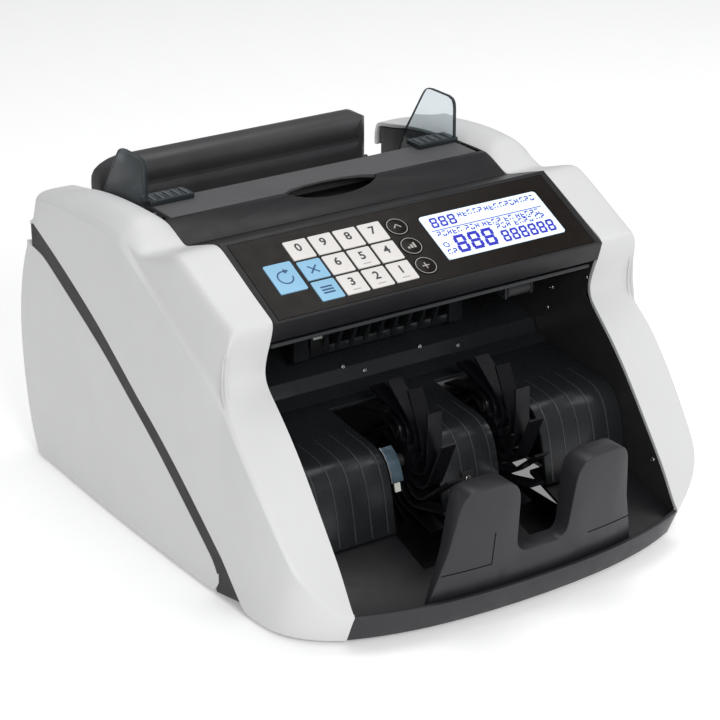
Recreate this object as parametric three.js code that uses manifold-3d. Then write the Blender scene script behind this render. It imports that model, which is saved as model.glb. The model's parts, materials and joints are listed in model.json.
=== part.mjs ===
// Banknote counting machine: a desktop counter with a hopper on top, a sloped
// control console and an open stacker pocket at the front.
// Millimetres, +Z up, front towards -Y, display side towards +X.

import * as THREE from 'three';
import { mergeVertices } from 'three/addons/utils/BufferGeometryUtils.js';
import Module from 'manifold-3d';

const wasm = await Module();
wasm.setup();

// ---------------------------------------------------------------- sizes

const GAP = 0.3;                 // clearance between touching pieces
const INNER = 115;               // half width between the white side shells
const OUTER = 148;               // half width over the white side shells
const SHELL = 2.6;               // wall of the moulded shells
const FOOT_HEIGHT = 3;
const FRONT_REACH = 156;         // stop plate tips, in front of the origin used while drawing
const REAR_REACH = 205;          // rear housing, behind that origin

const FRONT_DRAFT = 0.46;        // how far the base leans outwards for each mm of height
const LIP_HEIGHT = 18.5;
const BAND = [                   // sloped front edge of the side shells, from the lip to the neck
  [-132.5, 18.5], [-119, 41], [-99.2, 67], [-79.3, 93], [-54, 117], [-44, 127],
];
const NECK = [-44, 131.5];
const CONSOLE_FOOT = [-50.5, 151.5];
const CONSOLE_NOSE = [-54.3, 163.5];
const CONSOLE_RIDGE = [4, 192.3];
const VALLEY = [41.3, 179.4];
const HOPPER_CREST = [62, 188.2];
const REAR_TOP = [185, 176.5];

const CONSOLE_SLOPE = Math.atan2(
  CONSOLE_RIDGE[1] - CONSOLE_NOSE[1], CONSOLE_RIDGE[0] - CONSOLE_NOSE[0]);
const CONSOLE_WALL = 3.5;
const OVERLAY = { halfWidth: 110.5, low: 2.2, high: 62.2, thickness: 1.2 };
const KEY = { pitchX: 16.8, pitchS: 16.45, width: 15.2, height: 14.9, proud: 0.35, thickness: 2.3 };
const KEYPAD_LEFT = -71.2;
const KEYPAD_LOW = 15;
const RESTART = { x: -90.5, s: 30.2, width: 18, height: 22.4 };
const ROUND_KEY = { x: -4.4, radius: 7 };
const LCD = { left: 12.2, right: 97.9, low: 15, high: 51.2 };

const HOPPER_HALF = 101;         // half width of the hopper tray and its handle bar
const HOPPER_HINGE = [176, 147];
const HINGE_RADIUS = 3;
const TRAY = { front: [97.5, 132], rear: [159, 157], wall: 3.2 };
const BAR = { low: 152.5, front: 158, rear: 186, straight: 76, turn: 17, hollow: 74 };
const BAR_END = [                // right end of the handle bar seen from the front, in (x, z)
  [101, 150], [101, 178], [99, 183], [95.5, 186.5], [90, 190], [83, 193], [75, 195.2], [66, 198],
];
const LID = { half: 110, front: 66.5, rear: 97, top: 188.5, thickness: 3 };
const GUIDE_X = 111.6;           // side face of a note guide when fully open
const GUIDE_WALL = 2;

const FEED_AXIS = [112, 120];
const DRIVE_AXIS = [84, 118];
const STACKER_AXIS = [-62, 64];
const MOTOR_AXIS = [60, 58];
const SHAFT_RADIUS = 4;
const FRAME_INNER = INNER + GAP;
const FRAME_WALL = 2.7;

const WHEEL = { x: 31, width: 10, radius: 46.5, blades: 14, blade: 1.5, firstTip: 98 };
const BLADE = [                  // centre line of a blade: radius, and degrees behind its tip
  [WHEEL.radius, 0], [40, 7], [34, 17], [30, 28.7], [27.5, 41], [24.5, 52], [20, 62], [13, 70],
];
const WHEEL_SLOT = { near: 21, far: 54 };
const FLOOR_SLOPE = 0.34;
const floorZ = (y) => 10 + FLOOR_SLOPE * (y + 143);

// ---------------------------------------------------------------- materials

const plastic = (color, roughness) => new THREE.MeshStandardMaterial({ color, roughness, metalness: 0 });
const metal = (color, roughness) => new THREE.MeshStandardMaterial({ color, roughness, metalness: 1 });
const MATERIAL = {
  white: plastic(0xdedede, 0.45),
  black: plastic(0x222224, 0.5),
  trim: plastic(0x404042, 0.55),
  gloss: plastic(0x1c1815, 0.12),
  lid: plastic(0x696969, 0.55),
  smoke: new THREE.MeshStandardMaterial({
    color: 0x8fa0a8, roughness: 0.1, transparent: true, opacity: 0.45,
  }),
  key: plastic(0xece8e4, 0.5),
  blueKey: plastic(0x96c8e8, 0.5),
  screen: plastic(0xe1f0ff, 0.2),
  rubber: plastic(0x2a2a2a, 0.9),
  vane: plastic(0x34343a, 0.6),
  steel: metal(0xb8bcc0, 0.35),
  board: plastic(0x1f6b3a, 0.6),
};

// ---------------------------------------------------------------- shape helpers

const shapeOf = (points) => new THREE.Shape(points.map(([a, b]) => new THREE.Vector2(a, b)));

function extrude(shape, depth) {
  const geometry = new THREE.ExtrudeGeometry(shape, { depth, bevelEnabled: false, curveSegments: 6 });
  geometry.deleteAttribute('normal');
  geometry.deleteAttribute('uv');
  return geometry;
}

/** A round hole for a shape, as distinct points running clockwise. */
const roundHole = (x, y, radius, sides = 24) => shapeOf(Array.from({ length: sides }, (_, i) => {
  const angle = (-2 * Math.PI * i) / sides;
  return [x + radius * Math.cos(angle), y + radius * Math.sin(angle)];
}));

/** A profile drawn in (y, z), swept along X from x0 to x1. */
function alongX(points, x0, x1) {
  const geometry = extrude(Array.isArray(points) ? shapeOf(points) : points, x1 - x0);
  geometry.applyMatrix4(new THREE.Matrix4().set(0, 0, 1, x0, 1, 0, 0, 0, 0, 1, 0, 0, 0, 0, 0, 1));
  return geometry;
}

/** An outline drawn in (x, z), swept along Y from y0 to y1. */
function alongY(points, y0, y1) {
  const geometry = extrude(shapeOf(points), y1 - y0);
  geometry.rotateX(Math.PI / 2);
  geometry.translate(0, y1, 0);
  return geometry;
}

/** A plan drawn in (x, y), swept along Z from z0 to z1. */
function alongZ(points, z0, z1) {
  const geometry = extrude(Array.isArray(points) ? shapeOf(points) : points, z1 - z0);
  geometry.translate(0, 0, z0);
  return geometry;
}

function block(x0, x1, y0, y1, z0, z1) {
  const geometry = new THREE.BoxGeometry(x1 - x0, y1 - y0, z1 - z0);
  geometry.translate((x0 + x1) / 2, (y0 + y1) / 2, (z0 + z1) / 2);
  return geometry;
}

/** A cylinder along X, centred on (y, z). */
function barrel(y, z, radius, x0, x1, sides = 24) {
  const geometry = new THREE.CylinderGeometry(radius, radius, x1 - x0, sides);
  geometry.rotateZ(Math.PI / 2);
  geometry.translate((x0 + x1) / 2, y, z);
  return geometry;
}

function solid(geometry) {
  const bare = geometry.clone();
  bare.deleteAttribute('normal');
  bare.deleteAttribute('uv');
  const merged = mergeVertices(bare, 1e-4);
  return new wasm.Manifold(new wasm.Mesh({
    numProp: 3,
    vertProperties: new Float32Array(merged.attributes.position.array),
    triVerts: new Uint32Array(merged.index.array),
  }));
}

function geometryOf(manifold) {
  const mesh = manifold.getMesh();
  const positions = [];
  for (let i = 0; i < mesh.vertProperties.length; i += mesh.numProp) {
    positions.push(...mesh.vertProperties.slice(i, i + 3));
  }
  const geometry = new THREE.BufferGeometry();
  geometry.setAttribute('position', new THREE.Float32BufferAttribute(positions, 3));
  geometry.setIndex([...mesh.triVerts]);
  return geometry;
}

const join = (...geometries) =>
  geometryOf(geometries.map(solid).reduce((whole, next) => whole.add(next)));
const cut = (geometry, ...tools) =>
  geometryOf(tools.map(solid).reduce((whole, tool) => whole.subtract(tool), solid(geometry)));
const common = (...geometries) =>
  geometryOf(geometries.map(solid).reduce((whole, next) => whole.intersect(next)));

/** The same piece on the other side of the machine. */
function mirrored(geometry) {
  const copy = geometry.index ? geometry.clone() : mergeVertices(geometry);
  copy.scale(-1, 1, 1);
  const index = [...copy.index.array];
  for (let i = 0; i < index.length; i += 3) [index[i], index[i + 1]] = [index[i + 1], index[i]];
  copy.setIndex(index);
  return copy;
}

/** Moves every edge of a counter-clockwise outline inwards by a distance. */
function inset(points, distance) {
  const count = points.length;
  return points.map((point, i) => {
    const before = points[(i + count - 1) % count];
    const after = points[(i + 1) % count];
    const normal = (a, b) => {
      const length = Math.hypot(b[0] - a[0], b[1] - a[1]);
      return [-(b[1] - a[1]) / length, (b[0] - a[0]) / length];
    };
    const [nx, ny] = normal(before, point);
    const [mx, my] = normal(point, after);
    const scale = distance / (1 + nx * mx + ny * my);
    return [point[0] + (nx + mx) * scale, point[1] + (ny + my) * scale];
  });
}

/** A path moved sideways, to its right-hand side, by a distance. */
function beside(path, distance) {
  return path.map((point, i) => {
    const before = path[Math.max(i - 1, 0)];
    const after = path[Math.min(i + 1, path.length - 1)];
    const length = Math.hypot(after[0] - before[0], after[1] - before[1]);
    return [point[0] + ((after[1] - before[1]) / length) * distance,
      point[1] - ((after[0] - before[0]) / length) * distance];
  });
}

/** A bent sheet: a path in (y, z) given a wall thickness on its right-hand side. */
const sheetOutline = (path, wall) => [...path, ...beside(path, wall).reverse()];

const machine = new THREE.Group();

function addPart(name, geometry, material, parent = machine, position = [0, 0, 0]) {
  const mesh = new THREE.Mesh(geometry, material);
  mesh.name = name;
  mesh.position.set(...position);
  parent.add(mesh);
  return mesh;
}

/** Adds a part drawn for the right side, and its mirror image for the left. */
function addPair(name, geometry, material, parent = machine) {
  addPart(`right_${name}`, geometry, material, parent);
  addPart(`left_${name}`, mirrored(geometry), material, parent);
}

// ---------------------------------------------------------------- outer form

/** Front edge of the base in plan, at floor level. */
const frontY = (x) => -143.5 + 9e-4 * x ** 2 + 3.77e-8 * x ** 4;

const FLANK_START = [145, -78];  // end of the front corner's curve in plan
const FLANK_END = [147.3, 160];
const REAR_HALF = 147;

/** Right half of the body in plan: front corner, flank and rear corner. */
function flankPoints(rearY, cornerRadius) {
  const curve = (...points) => new THREE.CubicBezierCurve(...points.map((p) => new THREE.Vector2(...p)));
  const corner = curve([INNER, frontY(INNER)], [131, -115], [145, -103], FLANK_START);
  const flank = curve(FLANK_START, [149, 10], [149.5, 90], FLANK_END);
  const points = [...corner.getPoints(12), ...flank.getPoints(8).slice(1)].map((p) => [p.x, p.y]);
  const steps = 5;
  for (let i = 0; i <= steps; i++) {
    const angle = (i / steps) * (Math.PI / 2);
    points.push([
      REAR_HALF - cornerRadius + cornerRadius * Math.cos(angle),
      rearY - cornerRadius + cornerRadius * Math.sin(angle)]);
  }
  return points;
}

/** The whole plan of the body, counter-clockwise. */
function planOutline(rearY, cornerRadius) {
  const right = flankPoints(rearY, cornerRadius);
  const left = right.map(([x, y]) => [-x, y]).reverse();
  const front = [];
  const steps = 24;
  for (let i = 1; i < steps; i++) {
    const x = -INNER + (2 * INNER * i) / steps;
    front.push([x, frontY(x)]);
  }
  return [...right, ...left, ...front];
}

/** Leans a plan extrusion outwards at the front, as the moulded base does. */
function drafted(geometry) {
  const position = geometry.attributes.position;
  for (let i = 0; i < position.count; i++) {
    if (position.getY(i) < -70) {
      position.setY(i, position.getY(i) - FRONT_DRAFT * position.getZ(i));
    }
  }
  return geometry;
}

/** Height of the main body along its length, without the raised console. */
const BODY_HEIGHT = [
  ...BAND.map(([y, z]) => [y, z]),
  [-24, 137], [-8, 145.5], [25, 163.4], [50, 175.4], [61, 184], [84, 186], [108, 186],
  [134, 184], [160, 181], [176, 178], REAR_TOP, [190, 172],
];

function interpolate(table, at) {
  if (at <= table[0][0]) return table[0][1] + (at - table[0][0]) * 1.67;
  for (let i = 1; i < table.length; i++) {
    const [y0, z0] = table[i - 1];
    const [y1, z1] = table[i];
    if (at <= y1) return z0 + ((z1 - z0) * (at - y0)) / (y1 - y0);
  }
  return table[table.length - 1][1];
}

const CROWN = [[30, 0], [62, 9], [100, 9], [145, 5], [180, 1.5], [190, 0]];

/** Top surface of a side shell: crowned across its width behind the console. */
function shellTop(x, y, lowered) {
  const across = (Math.abs(x) - INNER) / (OUTER - INNER);
  const crown = Math.max(interpolate(CROWN, y), 0) * 4 * across * (1 - across);
  return interpolate(BODY_HEIGHT, y) + (y > 30 ? crown : 0) - lowered;
}

/** A tall block whose top face follows the shell. */
function crownedBlock(x0, x1, lowered, forward = 0) {
  const lengths = [-144, ...BODY_HEIGHT.map(([y]) => y)];
  const columns = 5;
  const geometry = new THREE.BoxGeometry(x1 - x0, 1, 1, columns, lengths.length - 1, 1);
  const position = geometry.attributes.position;
  for (let i = 0; i < position.count; i++) {
    const x = position.getX(i) + (x0 + x1) / 2;
    const row = Math.round((position.getY(i) + 0.5) * (lengths.length - 1));
    const y = lengths[row];
    const z = position.getZ(i) > 0 ? shellTop(x, y, 0) : -1;
    position.setXYZ(i, x, y + forward, z - (position.getZ(i) > 0 ? lowered : 0));
  }
  return geometry;
}

const ARM_PROFILE = [
  NECK, [-38, 118], [30, 146], VALLEY, CONSOLE_RIDGE, CONSOLE_NOSE, CONSOLE_FOOT,
];
const ARM_STATIONS = [           // rounding of an arm: half width, and share of its height left there
  [INNER, 1], [128, 0.99], [134, 0.92], [139, 0.78], [142.5, 0.6], [145, 0.4],
];

/** A solid through outlines in (y, z) that stand one after the other along X. */
function loft(stations) {
  const outline = stations[0].points;
  const caps = THREE.ShapeUtils.triangulateShape(outline.map(([a, b]) => new THREE.Vector2(a, b)), []);
  const count = outline.length;
  const last = (stations.length - 1) * count;
  const index = [];
  for (const [a, b, c] of caps) index.push(a, c, b, last + a, last + b, last + c);
  for (let ring = 0; ring < last; ring += count) {
    for (let i = 0; i < count; i++) {
      const j = (i + 1) % count;
      index.push(ring + i, ring + j, ring + count + i, ring + j, ring + count + j, ring + count + i);
    }
  }
  const geometry = new THREE.BufferGeometry();
  geometry.setAttribute('position', new THREE.Float32BufferAttribute(
    stations.flatMap(({ x, points }) => points.flatMap(([y, z]) => [x, y, z])), 3));
  geometry.setIndex(index);
  return geometry;
}

/** Raised console arm of the right side shell, shrunk by a wall thickness. */
function consoleArm(wall) {
  return loft(ARM_STATIONS.map(([x, share]) => {
    const lowered = ARM_PROFILE.map(([y, z]) => {
      const base = interpolate(BODY_HEIGHT, y);
      return [y, z > base ? base + (z - base) * share : z];
    });
    return { x: x - wall, points: wall ? inset(lowered, wall) : lowered };
  }));
}

/** Edge between the white side shell and the dark trim strip, in (y, z). */
const STRIP_TOP = [
  [-67, 0], [-44, 23.8], [0, 60], [44.3, 89.7], [91, 120.3], [140, 144], [178, 159.5],
];
const STRIP_LOW = [
  [-36, 0], [-40, 8], [-37, 17.4], [0, 47.7], [54, 86], [104, 115], [168, 143.5], [176, 146],
];

const SHELL_REACH = 188.5;       // the side shells reach this far back
const SHELL_CORNER = 14;
const ABOVE_ALL = 232;           // higher than every piece

/** Body of the right side shell, shrunk by a wall thickness on every outer face. */
function shellForm(wall) {
  const outline = planOutline(SHELL_REACH, SHELL_CORNER);
  const plan = drafted(alongZ(wall ? inset(outline, wall) : outline, -wall, ABOVE_ALL));
  const crowned = crownedBlock(INNER - wall, OUTER + 2, wall * 1.25, wall * 0.4);
  return common(join(crowned, consoleArm(wall)), plan);
}

function sideShell() {
  const aboveStrip = alongX([
    ...STRIP_TOP, [200, 159.5], [200, 240], [-170, 240], [-170, 0], [-67, 0],
  ], INNER, OUTER + 3);
  return cut(common(shellForm(0), aboveStrip), shellForm(SHELL));
}

/** Rear face of the machine in (y, z): a shallow bulge. */
const REAR_FACE = [
  [190, 0], [194, 7], [197.5, 15], [201, 31], [203.7, 51], [REAR_REACH, 68], [204.8, 86],
  [203, 100], [199.5, 114.6], [195, 129.5], [190.5, 138], [188, 142],
];

const REAR_CORNER = 5;
const HINGE_LEDGE = 138.6;       // floor of the well the hopper hinge turns in

function rearHousing() {
  const lower = STRIP_LOW.map(([y, z]) => [y, z]);
  const outline = [...REAR_FACE, ...lower.reverse().slice(1)];
  const outerForm = alongX(outline, -OUTER - 3, OUTER + 3);
  const plan = alongZ(planOutline(REAR_REACH, REAR_CORNER), 0, 150);
  const cavityProfile = [
    [-60, -5], [REAR_FACE[0][0] - SHELL, -5], ...inset(outline, SHELL).slice(1, REAR_FACE.length),
    [160, HINGE_LEDGE - SHELL], [160, 160], [-60, 160],
  ];
  const cavity = common(
    alongX(cavityProfile, -OUTER, OUTER),
    alongZ(inset(planOutline(REAR_REACH, REAR_CORNER), SHELL), -5, 170));
  const inletWindow = block(77.5, 122.5, 180, 220, 21.5, 54.5);
  const hingeWell = block(-118.5, 118.5, 150, 185.5, HINGE_LEDGE, 160);
  return cut(common(outerForm, plan), cavity, inletWindow, hingeWell);
}

function trimStrip() {
  const band = [...STRIP_TOP.map(([y, z]) => [y + GAP, z - GAP]), [186, 158.5], [185.5, 147.5],
    ...STRIP_LOW.map(([y, z]) => [y - GAP, z + GAP]).reverse().slice(1, -1), [-38, 0]];
  const plan = cut(
    drafted(alongZ(inset(planOutline(189, 12), 0.9), 0, 200)),
    drafted(alongZ(inset(planOutline(189, 12), 4.6), -1, 201)));
  return common(alongX(band, 118.5, OUTER), plan);
}

const WINDOW = { near: 80, far: 106, front: -118, rear: 4 };   // openings in the base beside the wheels

function baseTray() {
  const plate = drafted(alongZ(inset(planOutline(REAR_REACH - 15, 10), 5.4), 0.4, 3.4));
  const lipBlock = common(
    drafted(alongZ(planOutline(188, 14), 0.4, LIP_HEIGHT)),
    block(-INNER + GAP, INNER - GAP, -170, -100, 0.4, LIP_HEIGHT));
  const lipHollow = drafted(alongZ(inset(planOutline(188, 14), 3), 3.4, 40));
  const lip = cut(lipBlock, lipHollow);
  const windows = [-1, 1].map((side) => {
    const [x0, x1] = [side * WINDOW.near, side * WINDOW.far].sort((a, b) => a - b);
    return block(x0, x1, WINDOW.front, WINDOW.rear, -1, 10);
  });
  return cut(join(plate, lip), ...windows);
}

/** Inner side wall with the bearing holes and the stub that the hopper turns on. */
function sideFrame() {
  const outer = FRAME_INNER + FRAME_WALL;
  const wall = common(shellForm(SHELL + 0.6), block(FRAME_INNER, outer, -150, 181, 3.8, 200));
  const bores = [FEED_AXIS, DRIVE_AXIS, STACKER_AXIS, MOTOR_AXIS].map(([y, z]) =>
    barrel(y, z, SHAFT_RADIUS + 0.4, 110, 125, 16));
  const hingeStub = barrel(...HOPPER_HINGE, HINGE_RADIUS, HOPPER_HALF - 5, outer, 16);
  const belowHinge = block(FRAME_INNER - 1, outer + 1, 159.5, 185, 0, HINGE_LEDGE + GAP);
  return join(cut(wall, ...bores, belowHinge), hingeStub);
}

// ---------------------------------------------------------------- console

const consoleFrame = new THREE.Group();
consoleFrame.position.set(0, CONSOLE_NOSE[0], CONSOLE_NOSE[1]);
consoleFrame.rotation.x = CONSOLE_SLOPE;
machine.add(consoleFrame);
consoleFrame.updateMatrix();

/** Moves a geometry drawn on the console face into the machine's own axes. */
const onConsole = (geometry) => geometry.clone().applyMatrix4(consoleFrame.matrix);

function consoleHousing() {
  const half = INNER - GAP;
  const skin = sheetOutline(
    [CONSOLE_FOOT, CONSOLE_NOSE, CONSOLE_RIDGE, [VALLEY[0] - GAP, VALLEY[1]]], CONSOLE_WALL);
  const endProfile = [[-46.5, 152], [-48.5, 162], CONSOLE_RIDGE.map((v, i) => v - [0, 3][i]),
    [39, 176], [39, 172.5], [4, 174]];
  const ends = [-1, 1].map((side) => {
    const [x0, x1] = [side * half, side * (half - 2.5)].sort((a, b) => a - b);
    return alongX(endProfile, x0, x1);
  });
  const recess = onConsole(block(
    -OVERLAY.halfWidth - GAP, OVERLAY.halfWidth + GAP,
    OVERLAY.low - GAP, OVERLAY.high + GAP, -OVERLAY.thickness - GAP, 5));
  const keypadWindow = onConsole(block(-102, 5, 6, 57, -12, 5));
  const lcdWindow = onConsole(block(LCD.left - 1, LCD.right + 1, LCD.low - 1, LCD.high + 1, -12, 5));
  return cut(join(alongX(skin, -half, half), ...ends), recess, keypadWindow, lcdWindow);
}

const keyLabels = [
  ['batch', '3', '2', '1'],
  ['clear', '6', '5', '4'],
  ['0', '9', '8', '7'],
];
const roundKeys = ['add', 'mode', 'report'];
const keySpots = [];
keyLabels.forEach((row, r) => row.forEach((label, c) => keySpots.push({
  label,
  x: KEYPAD_LEFT + c * KEY.pitchX,
  s: KEYPAD_LOW + r * KEY.pitchS,
  width: KEY.width,
  height: KEY.height,
  blue: c === 0 && r < 2,
})));
keySpots.push({ label: 'restart', ...RESTART, blue: true });

function panelOverlay() {
  const { halfWidth, low, high, thickness } = OVERLAY;
  const hole = (x0, x1, s0, s1) => block(x0 - GAP, x1 + GAP, s0 - GAP, s1 + GAP, -5, 5);
  const keyHoles = keySpots.map(({ x, s, width, height }) =>
    hole(x - width / 2, x + width / 2, s - height / 2, s + height / 2));
  const roundHoles = roundKeys.map((_, i) => {
    const drill = new THREE.CylinderGeometry(ROUND_KEY.radius + GAP, ROUND_KEY.radius + GAP, 10, 24);
    drill.rotateX(Math.PI / 2);
    drill.translate(ROUND_KEY.x, KEYPAD_LOW + i * KEY.pitchS, 0);
    return drill;
  });
  const sheet = block(-halfWidth, halfWidth, low, high, -thickness, 0);
  return cut(sheet, ...keyHoles, ...roundHoles, hole(LCD.left, LCD.right, LCD.low, LCD.high));
}

function addConsole() {
  addPart('console_housing', consoleHousing(), MATERIAL.black);
  addPart('panel_overlay', panelOverlay(), MATERIAL.gloss, consoleFrame);
  const screen = block(LCD.left, LCD.right, LCD.low, LCD.high, -4, -0.1);
  addPart('lcd_display', screen, MATERIAL.screen, consoleFrame);
  const keyHeight = KEY.proud - KEY.thickness;
  for (const { label, x, s, width, height, blue } of keySpots) {
    const cap = block(-width / 2, width / 2, -height / 2, height / 2, keyHeight, KEY.proud);
    addPart(`key_${label}`, cap, blue ? MATERIAL.blueKey : MATERIAL.key, consoleFrame, [x, s, 0]);
  }
  roundKeys.forEach((label, i) => {
    const disc = new THREE.CylinderGeometry(ROUND_KEY.radius, ROUND_KEY.radius, KEY.thickness, 24);
    disc.rotateX(Math.PI / 2);
    disc.translate(0, 0, (keyHeight + KEY.proud) / 2);
    addPart(`key_${label}`, disc, MATERIAL.gloss, consoleFrame,
      [ROUND_KEY.x, KEYPAD_LOW + i * KEY.pitchS, 0]);
  });
  addPart('key_board', block(-104, 104, 8, 54, -7.6, -6), MATERIAL.board, consoleFrame);
}

const ADJUSTER = { x: 69, y: -30, z: 137 };
const COMB = {
  ribs: 9, half: 40, ribWidth: 2.4,
  rib: [[4, 150], [8, 118], [14, 104], [18, 104], [26, 130], [26, 158]],
};

/** Upper paper guide under the console, with its comb of hanging ribs. */
function combGuide() {
  const plate = alongX(sheetOutline([[-46, 148], [-20, 146.5], [6, 156], [38, 166]], 2.2), -112, 112);
  const ribs = [];
  for (let i = 0; i < COMB.ribs; i++) {
    const x = COMB.half * ((2 * i) / (COMB.ribs - 1) - 1);
    ribs.push(alongX(COMB.rib, x - COMB.ribWidth / 2, x + COMB.ribWidth / 2));
  }
  const posts = [-56, 56].map((x) => block(x - 5, x + 5, 12, 18, 104, 160));
  const bar = block(-61, 61, 14, 18, 104, 109);
  const ears = [-10.5, 8.5].map((offset) => cut(
    block(ADJUSTER.x + offset, ADJUSTER.x + offset + 2, ADJUSTER.y - 4, ADJUSTER.y + 4, 133, 147),
    barrel(ADJUSTER.y, ADJUSTER.z, 1.5 + GAP, 50, 90, 12)));
  return join(plate, bar, ...ribs, ...posts, ...ears);
}

// ---------------------------------------------------------------- hopper

const trayZ = (y) => TRAY.front[1] + ((y - TRAY.front[0])
  * (TRAY.rear[1] - TRAY.front[1])) / (TRAY.rear[0] - TRAY.front[0]);

/** Hollow handle bar behind the hopper, with a rippled front and rounded ends. */
function handleBar() {
  const ripple = [[159, 166], [158.2, 169], [158.5, 172], [160, 174.6], [160.2, 177], [159, 179.4],
    [158.2, 182], [158.6, 185], [160.2, 188.4]];
  const section = new THREE.Shape();
  section.moveTo(159, BAR.low);
  for (const point of ripple) section.lineTo(...point);
  section.bezierCurveTo(165, 195.5, 176, 195, 181, 189);
  section.bezierCurveTo(186, 182, 185.5, 172, 185, 166);
  section.lineTo(177, 157.5);
  section.lineTo(175, BAR.low);
  const plan = new THREE.Shape();
  plan.moveTo(-BAR.straight, BAR.front);
  plan.lineTo(BAR.straight, BAR.front);
  plan.quadraticCurveTo(BAR.straight + BAR.turn, BAR.front, HOPPER_HALF, BAR.rear);
  plan.lineTo(-HOPPER_HALF, BAR.rear);
  plan.quadraticCurveTo(-BAR.straight - BAR.turn, BAR.front, -BAR.straight, BAR.front);
  const face = [...BAR_END, ...BAR_END.map(([x, z]) => [-x, z]).reverse()];
  const bar = common(
    alongX(section, -HOPPER_HALF, HOPPER_HALF), alongZ(plan, BAR.low - 1, 200),
    alongY(face, BAR.front - 1, BAR.rear + 1));
  const hollow = alongX([[163, 140], [163, 184], [168, 189], [175, 188.5], [181, 181], [181.5, 168],
    [173.5, 159], [172, 140]], -BAR.hollow, BAR.hollow);
  return cut(bar, hollow);
}

/** Hopper tray with its handle bar at the back and the note stop at the front. */
function hopperFrame() {
  const section = [TRAY.front, TRAY.rear, [162, TRAY.rear[1]], [162, BAR.low], [159, BAR.low],
    [TRAY.front[0], TRAY.front[1] - TRAY.wall]];
  const rollerSlots = [-1, 1].map((side) => {
    const [x0, x1] = [side * 27, side * 47].sort((a, b) => a - b);
    return block(x0, x1, 93, 132.5, 110, 152);
  });
  const tray = cut(alongX(section, -HOPPER_HALF, HOPPER_HALF), ...rollerSlots);
  const frontWall = block(-HOPPER_HALF, HOPPER_HALF, 91, 94.5, 140, LID.top - LID.thickness - GAP);
  const ends = [-1, 1].flatMap((side) => {
    const [x0, x1] = [side * HOPPER_HALF, side * (HOPPER_HALF - 4)].sort((a, b) => a - b);
    return [
      alongX([[91, 127], [104, 127], [108, 134], [97, 134.5], [94.5, 143], [91, 143]], x0, x1),
      alongX([[167, 154], [170, 143], [176, 140.5], [182, 144], [182, 152], [177, 158]], x0, x1),
    ];
  });
  const hingeHole = barrel(...HOPPER_HINGE, HINGE_RADIUS + GAP, -120, 120, 16);
  return cut(join(tray, handleBar(), frontWall, ...ends), hingeHole);
}

function hopperLid() {
  const { half, front, rear, top, thickness } = LID;
  const shape = new THREE.Shape();
  shape.moveTo(-half, front);
  shape.lineTo(-33, front);
  shape.bezierCurveTo(-22, front + 13, 22, front + 13, 33, front);
  shape.lineTo(half, front);
  shape.lineTo(half, rear);
  shape.lineTo(-half, rear);
  return alongZ(shape, top - thickness, top);
}

const COVER_SHEET = 2.6;

/** Sloped cover between the console and the hopper, with a finger well under the lid. */
function frontCover() {
  const half = INNER - GAP;
  const path = [[VALLEY[0] + GAP, VALLEY[1]], HOPPER_CREST, [LID.front - GAP, HOPPER_CREST[1] + GAP]];
  const skin = alongX(sheetOutline(path, COVER_SHEET), -half, half);
  const notch = alongZ(new THREE.Shape(
    new THREE.EllipseCurve(0, LID.front, 33, 12, 0, Math.PI * 2).getPoints(24)), 180, 200);
  const well = block(-40, 40, 51, 84, 176, 178);
  const wellFront = block(-40, 40, 51, 53, 176, 183);
  return join(cut(skin, notch), well, wellFront);
}

/** Clear side guide with its ribbed finger tab; drawn for the right side. */
function noteGuide() {
  const panel = new THREE.Shape();
  panel.moveTo(92.3, 189.2);
  panel.lineTo(92.3, 209.5);
  panel.quadraticCurveTo(92.3, 216.5, 99, 216.5);
  panel.lineTo(117, 216.5);
  panel.quadraticCurveTo(124, 216.5, 127, 211);
  panel.lineTo(145, 184);
  panel.lineTo(154, 164);
  panel.lineTo(152, trayZ(152) + 1);
  panel.lineTo(106, trayZ(106) + 1);
  panel.lineTo(106, 180);
  panel.lineTo(99, 180);
  panel.lineTo(98, 189.2);
  const wall = alongX(panel, GUIDE_X - GUIDE_WALL / 2, GUIDE_X + GUIDE_WALL / 2);
  const tab = block(81.5, GUIDE_X, 88.5, 102.5, LID.top + GAP, LID.top + 3);
  const hook = block(86, GUIDE_X, 97.6, 100.4, 180, LID.top + 1);
  return join(wall, tab, hook);
}

// ---------------------------------------------------------------- stacker pocket

function wheelSlots(y0, y1, z0, z1) {
  return [-1, 1].map((side) => {
    const [x0, x1] = [side * WHEEL_SLOT.near, side * WHEEL_SLOT.far].sort((a, b) => a - b);
    return block(x0, x1, y0, y1, z0, z1);
  });
}

function stackerFloor() {
  const half = INNER - GAP;
  const [front, rear] = [-160, -68];
  const plate = alongX([[front, floorZ(front)], [rear, floorZ(rear)], [rear, floorZ(rear) - 2.5],
    [front, floorZ(front) - 2.5]], -half, half);
  const insideLip = drafted(alongZ(inset(planOutline(188, 14), 3.4), 0, 60));
  return cut(common(plate, insideLip), ...wheelSlots(-112, rear + 1, 0, 60));
}

function stackerBackPlate() {
  const half = INNER - GAP;
  const path = [
    [-84.6, floorZ(-81) + GAP], [-82.3, 43], [-80.6, 52], [-78.5, 60], [-76.4, 66], [-73.6, 71],
    [-70, 74.6], [-65.5, 77], [-60, 78.3], [-54, 78.9], [-40, 79.8], [-6, 84],
  ];
  const plate = alongX(sheetOutline(path, 2.5), -half, half);
  return cut(plate, ...wheelSlots(-100, -15, 0, 100));
}

function lowerGuide() {
  const half = INNER - GAP;
  const path = [[-5.6, 84], [6, 86], [10, 94], [26, 98], [50, 108], [65, 113]];
  return alongX(sheetOutline(path, 2.5), -half, half);
}

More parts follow.
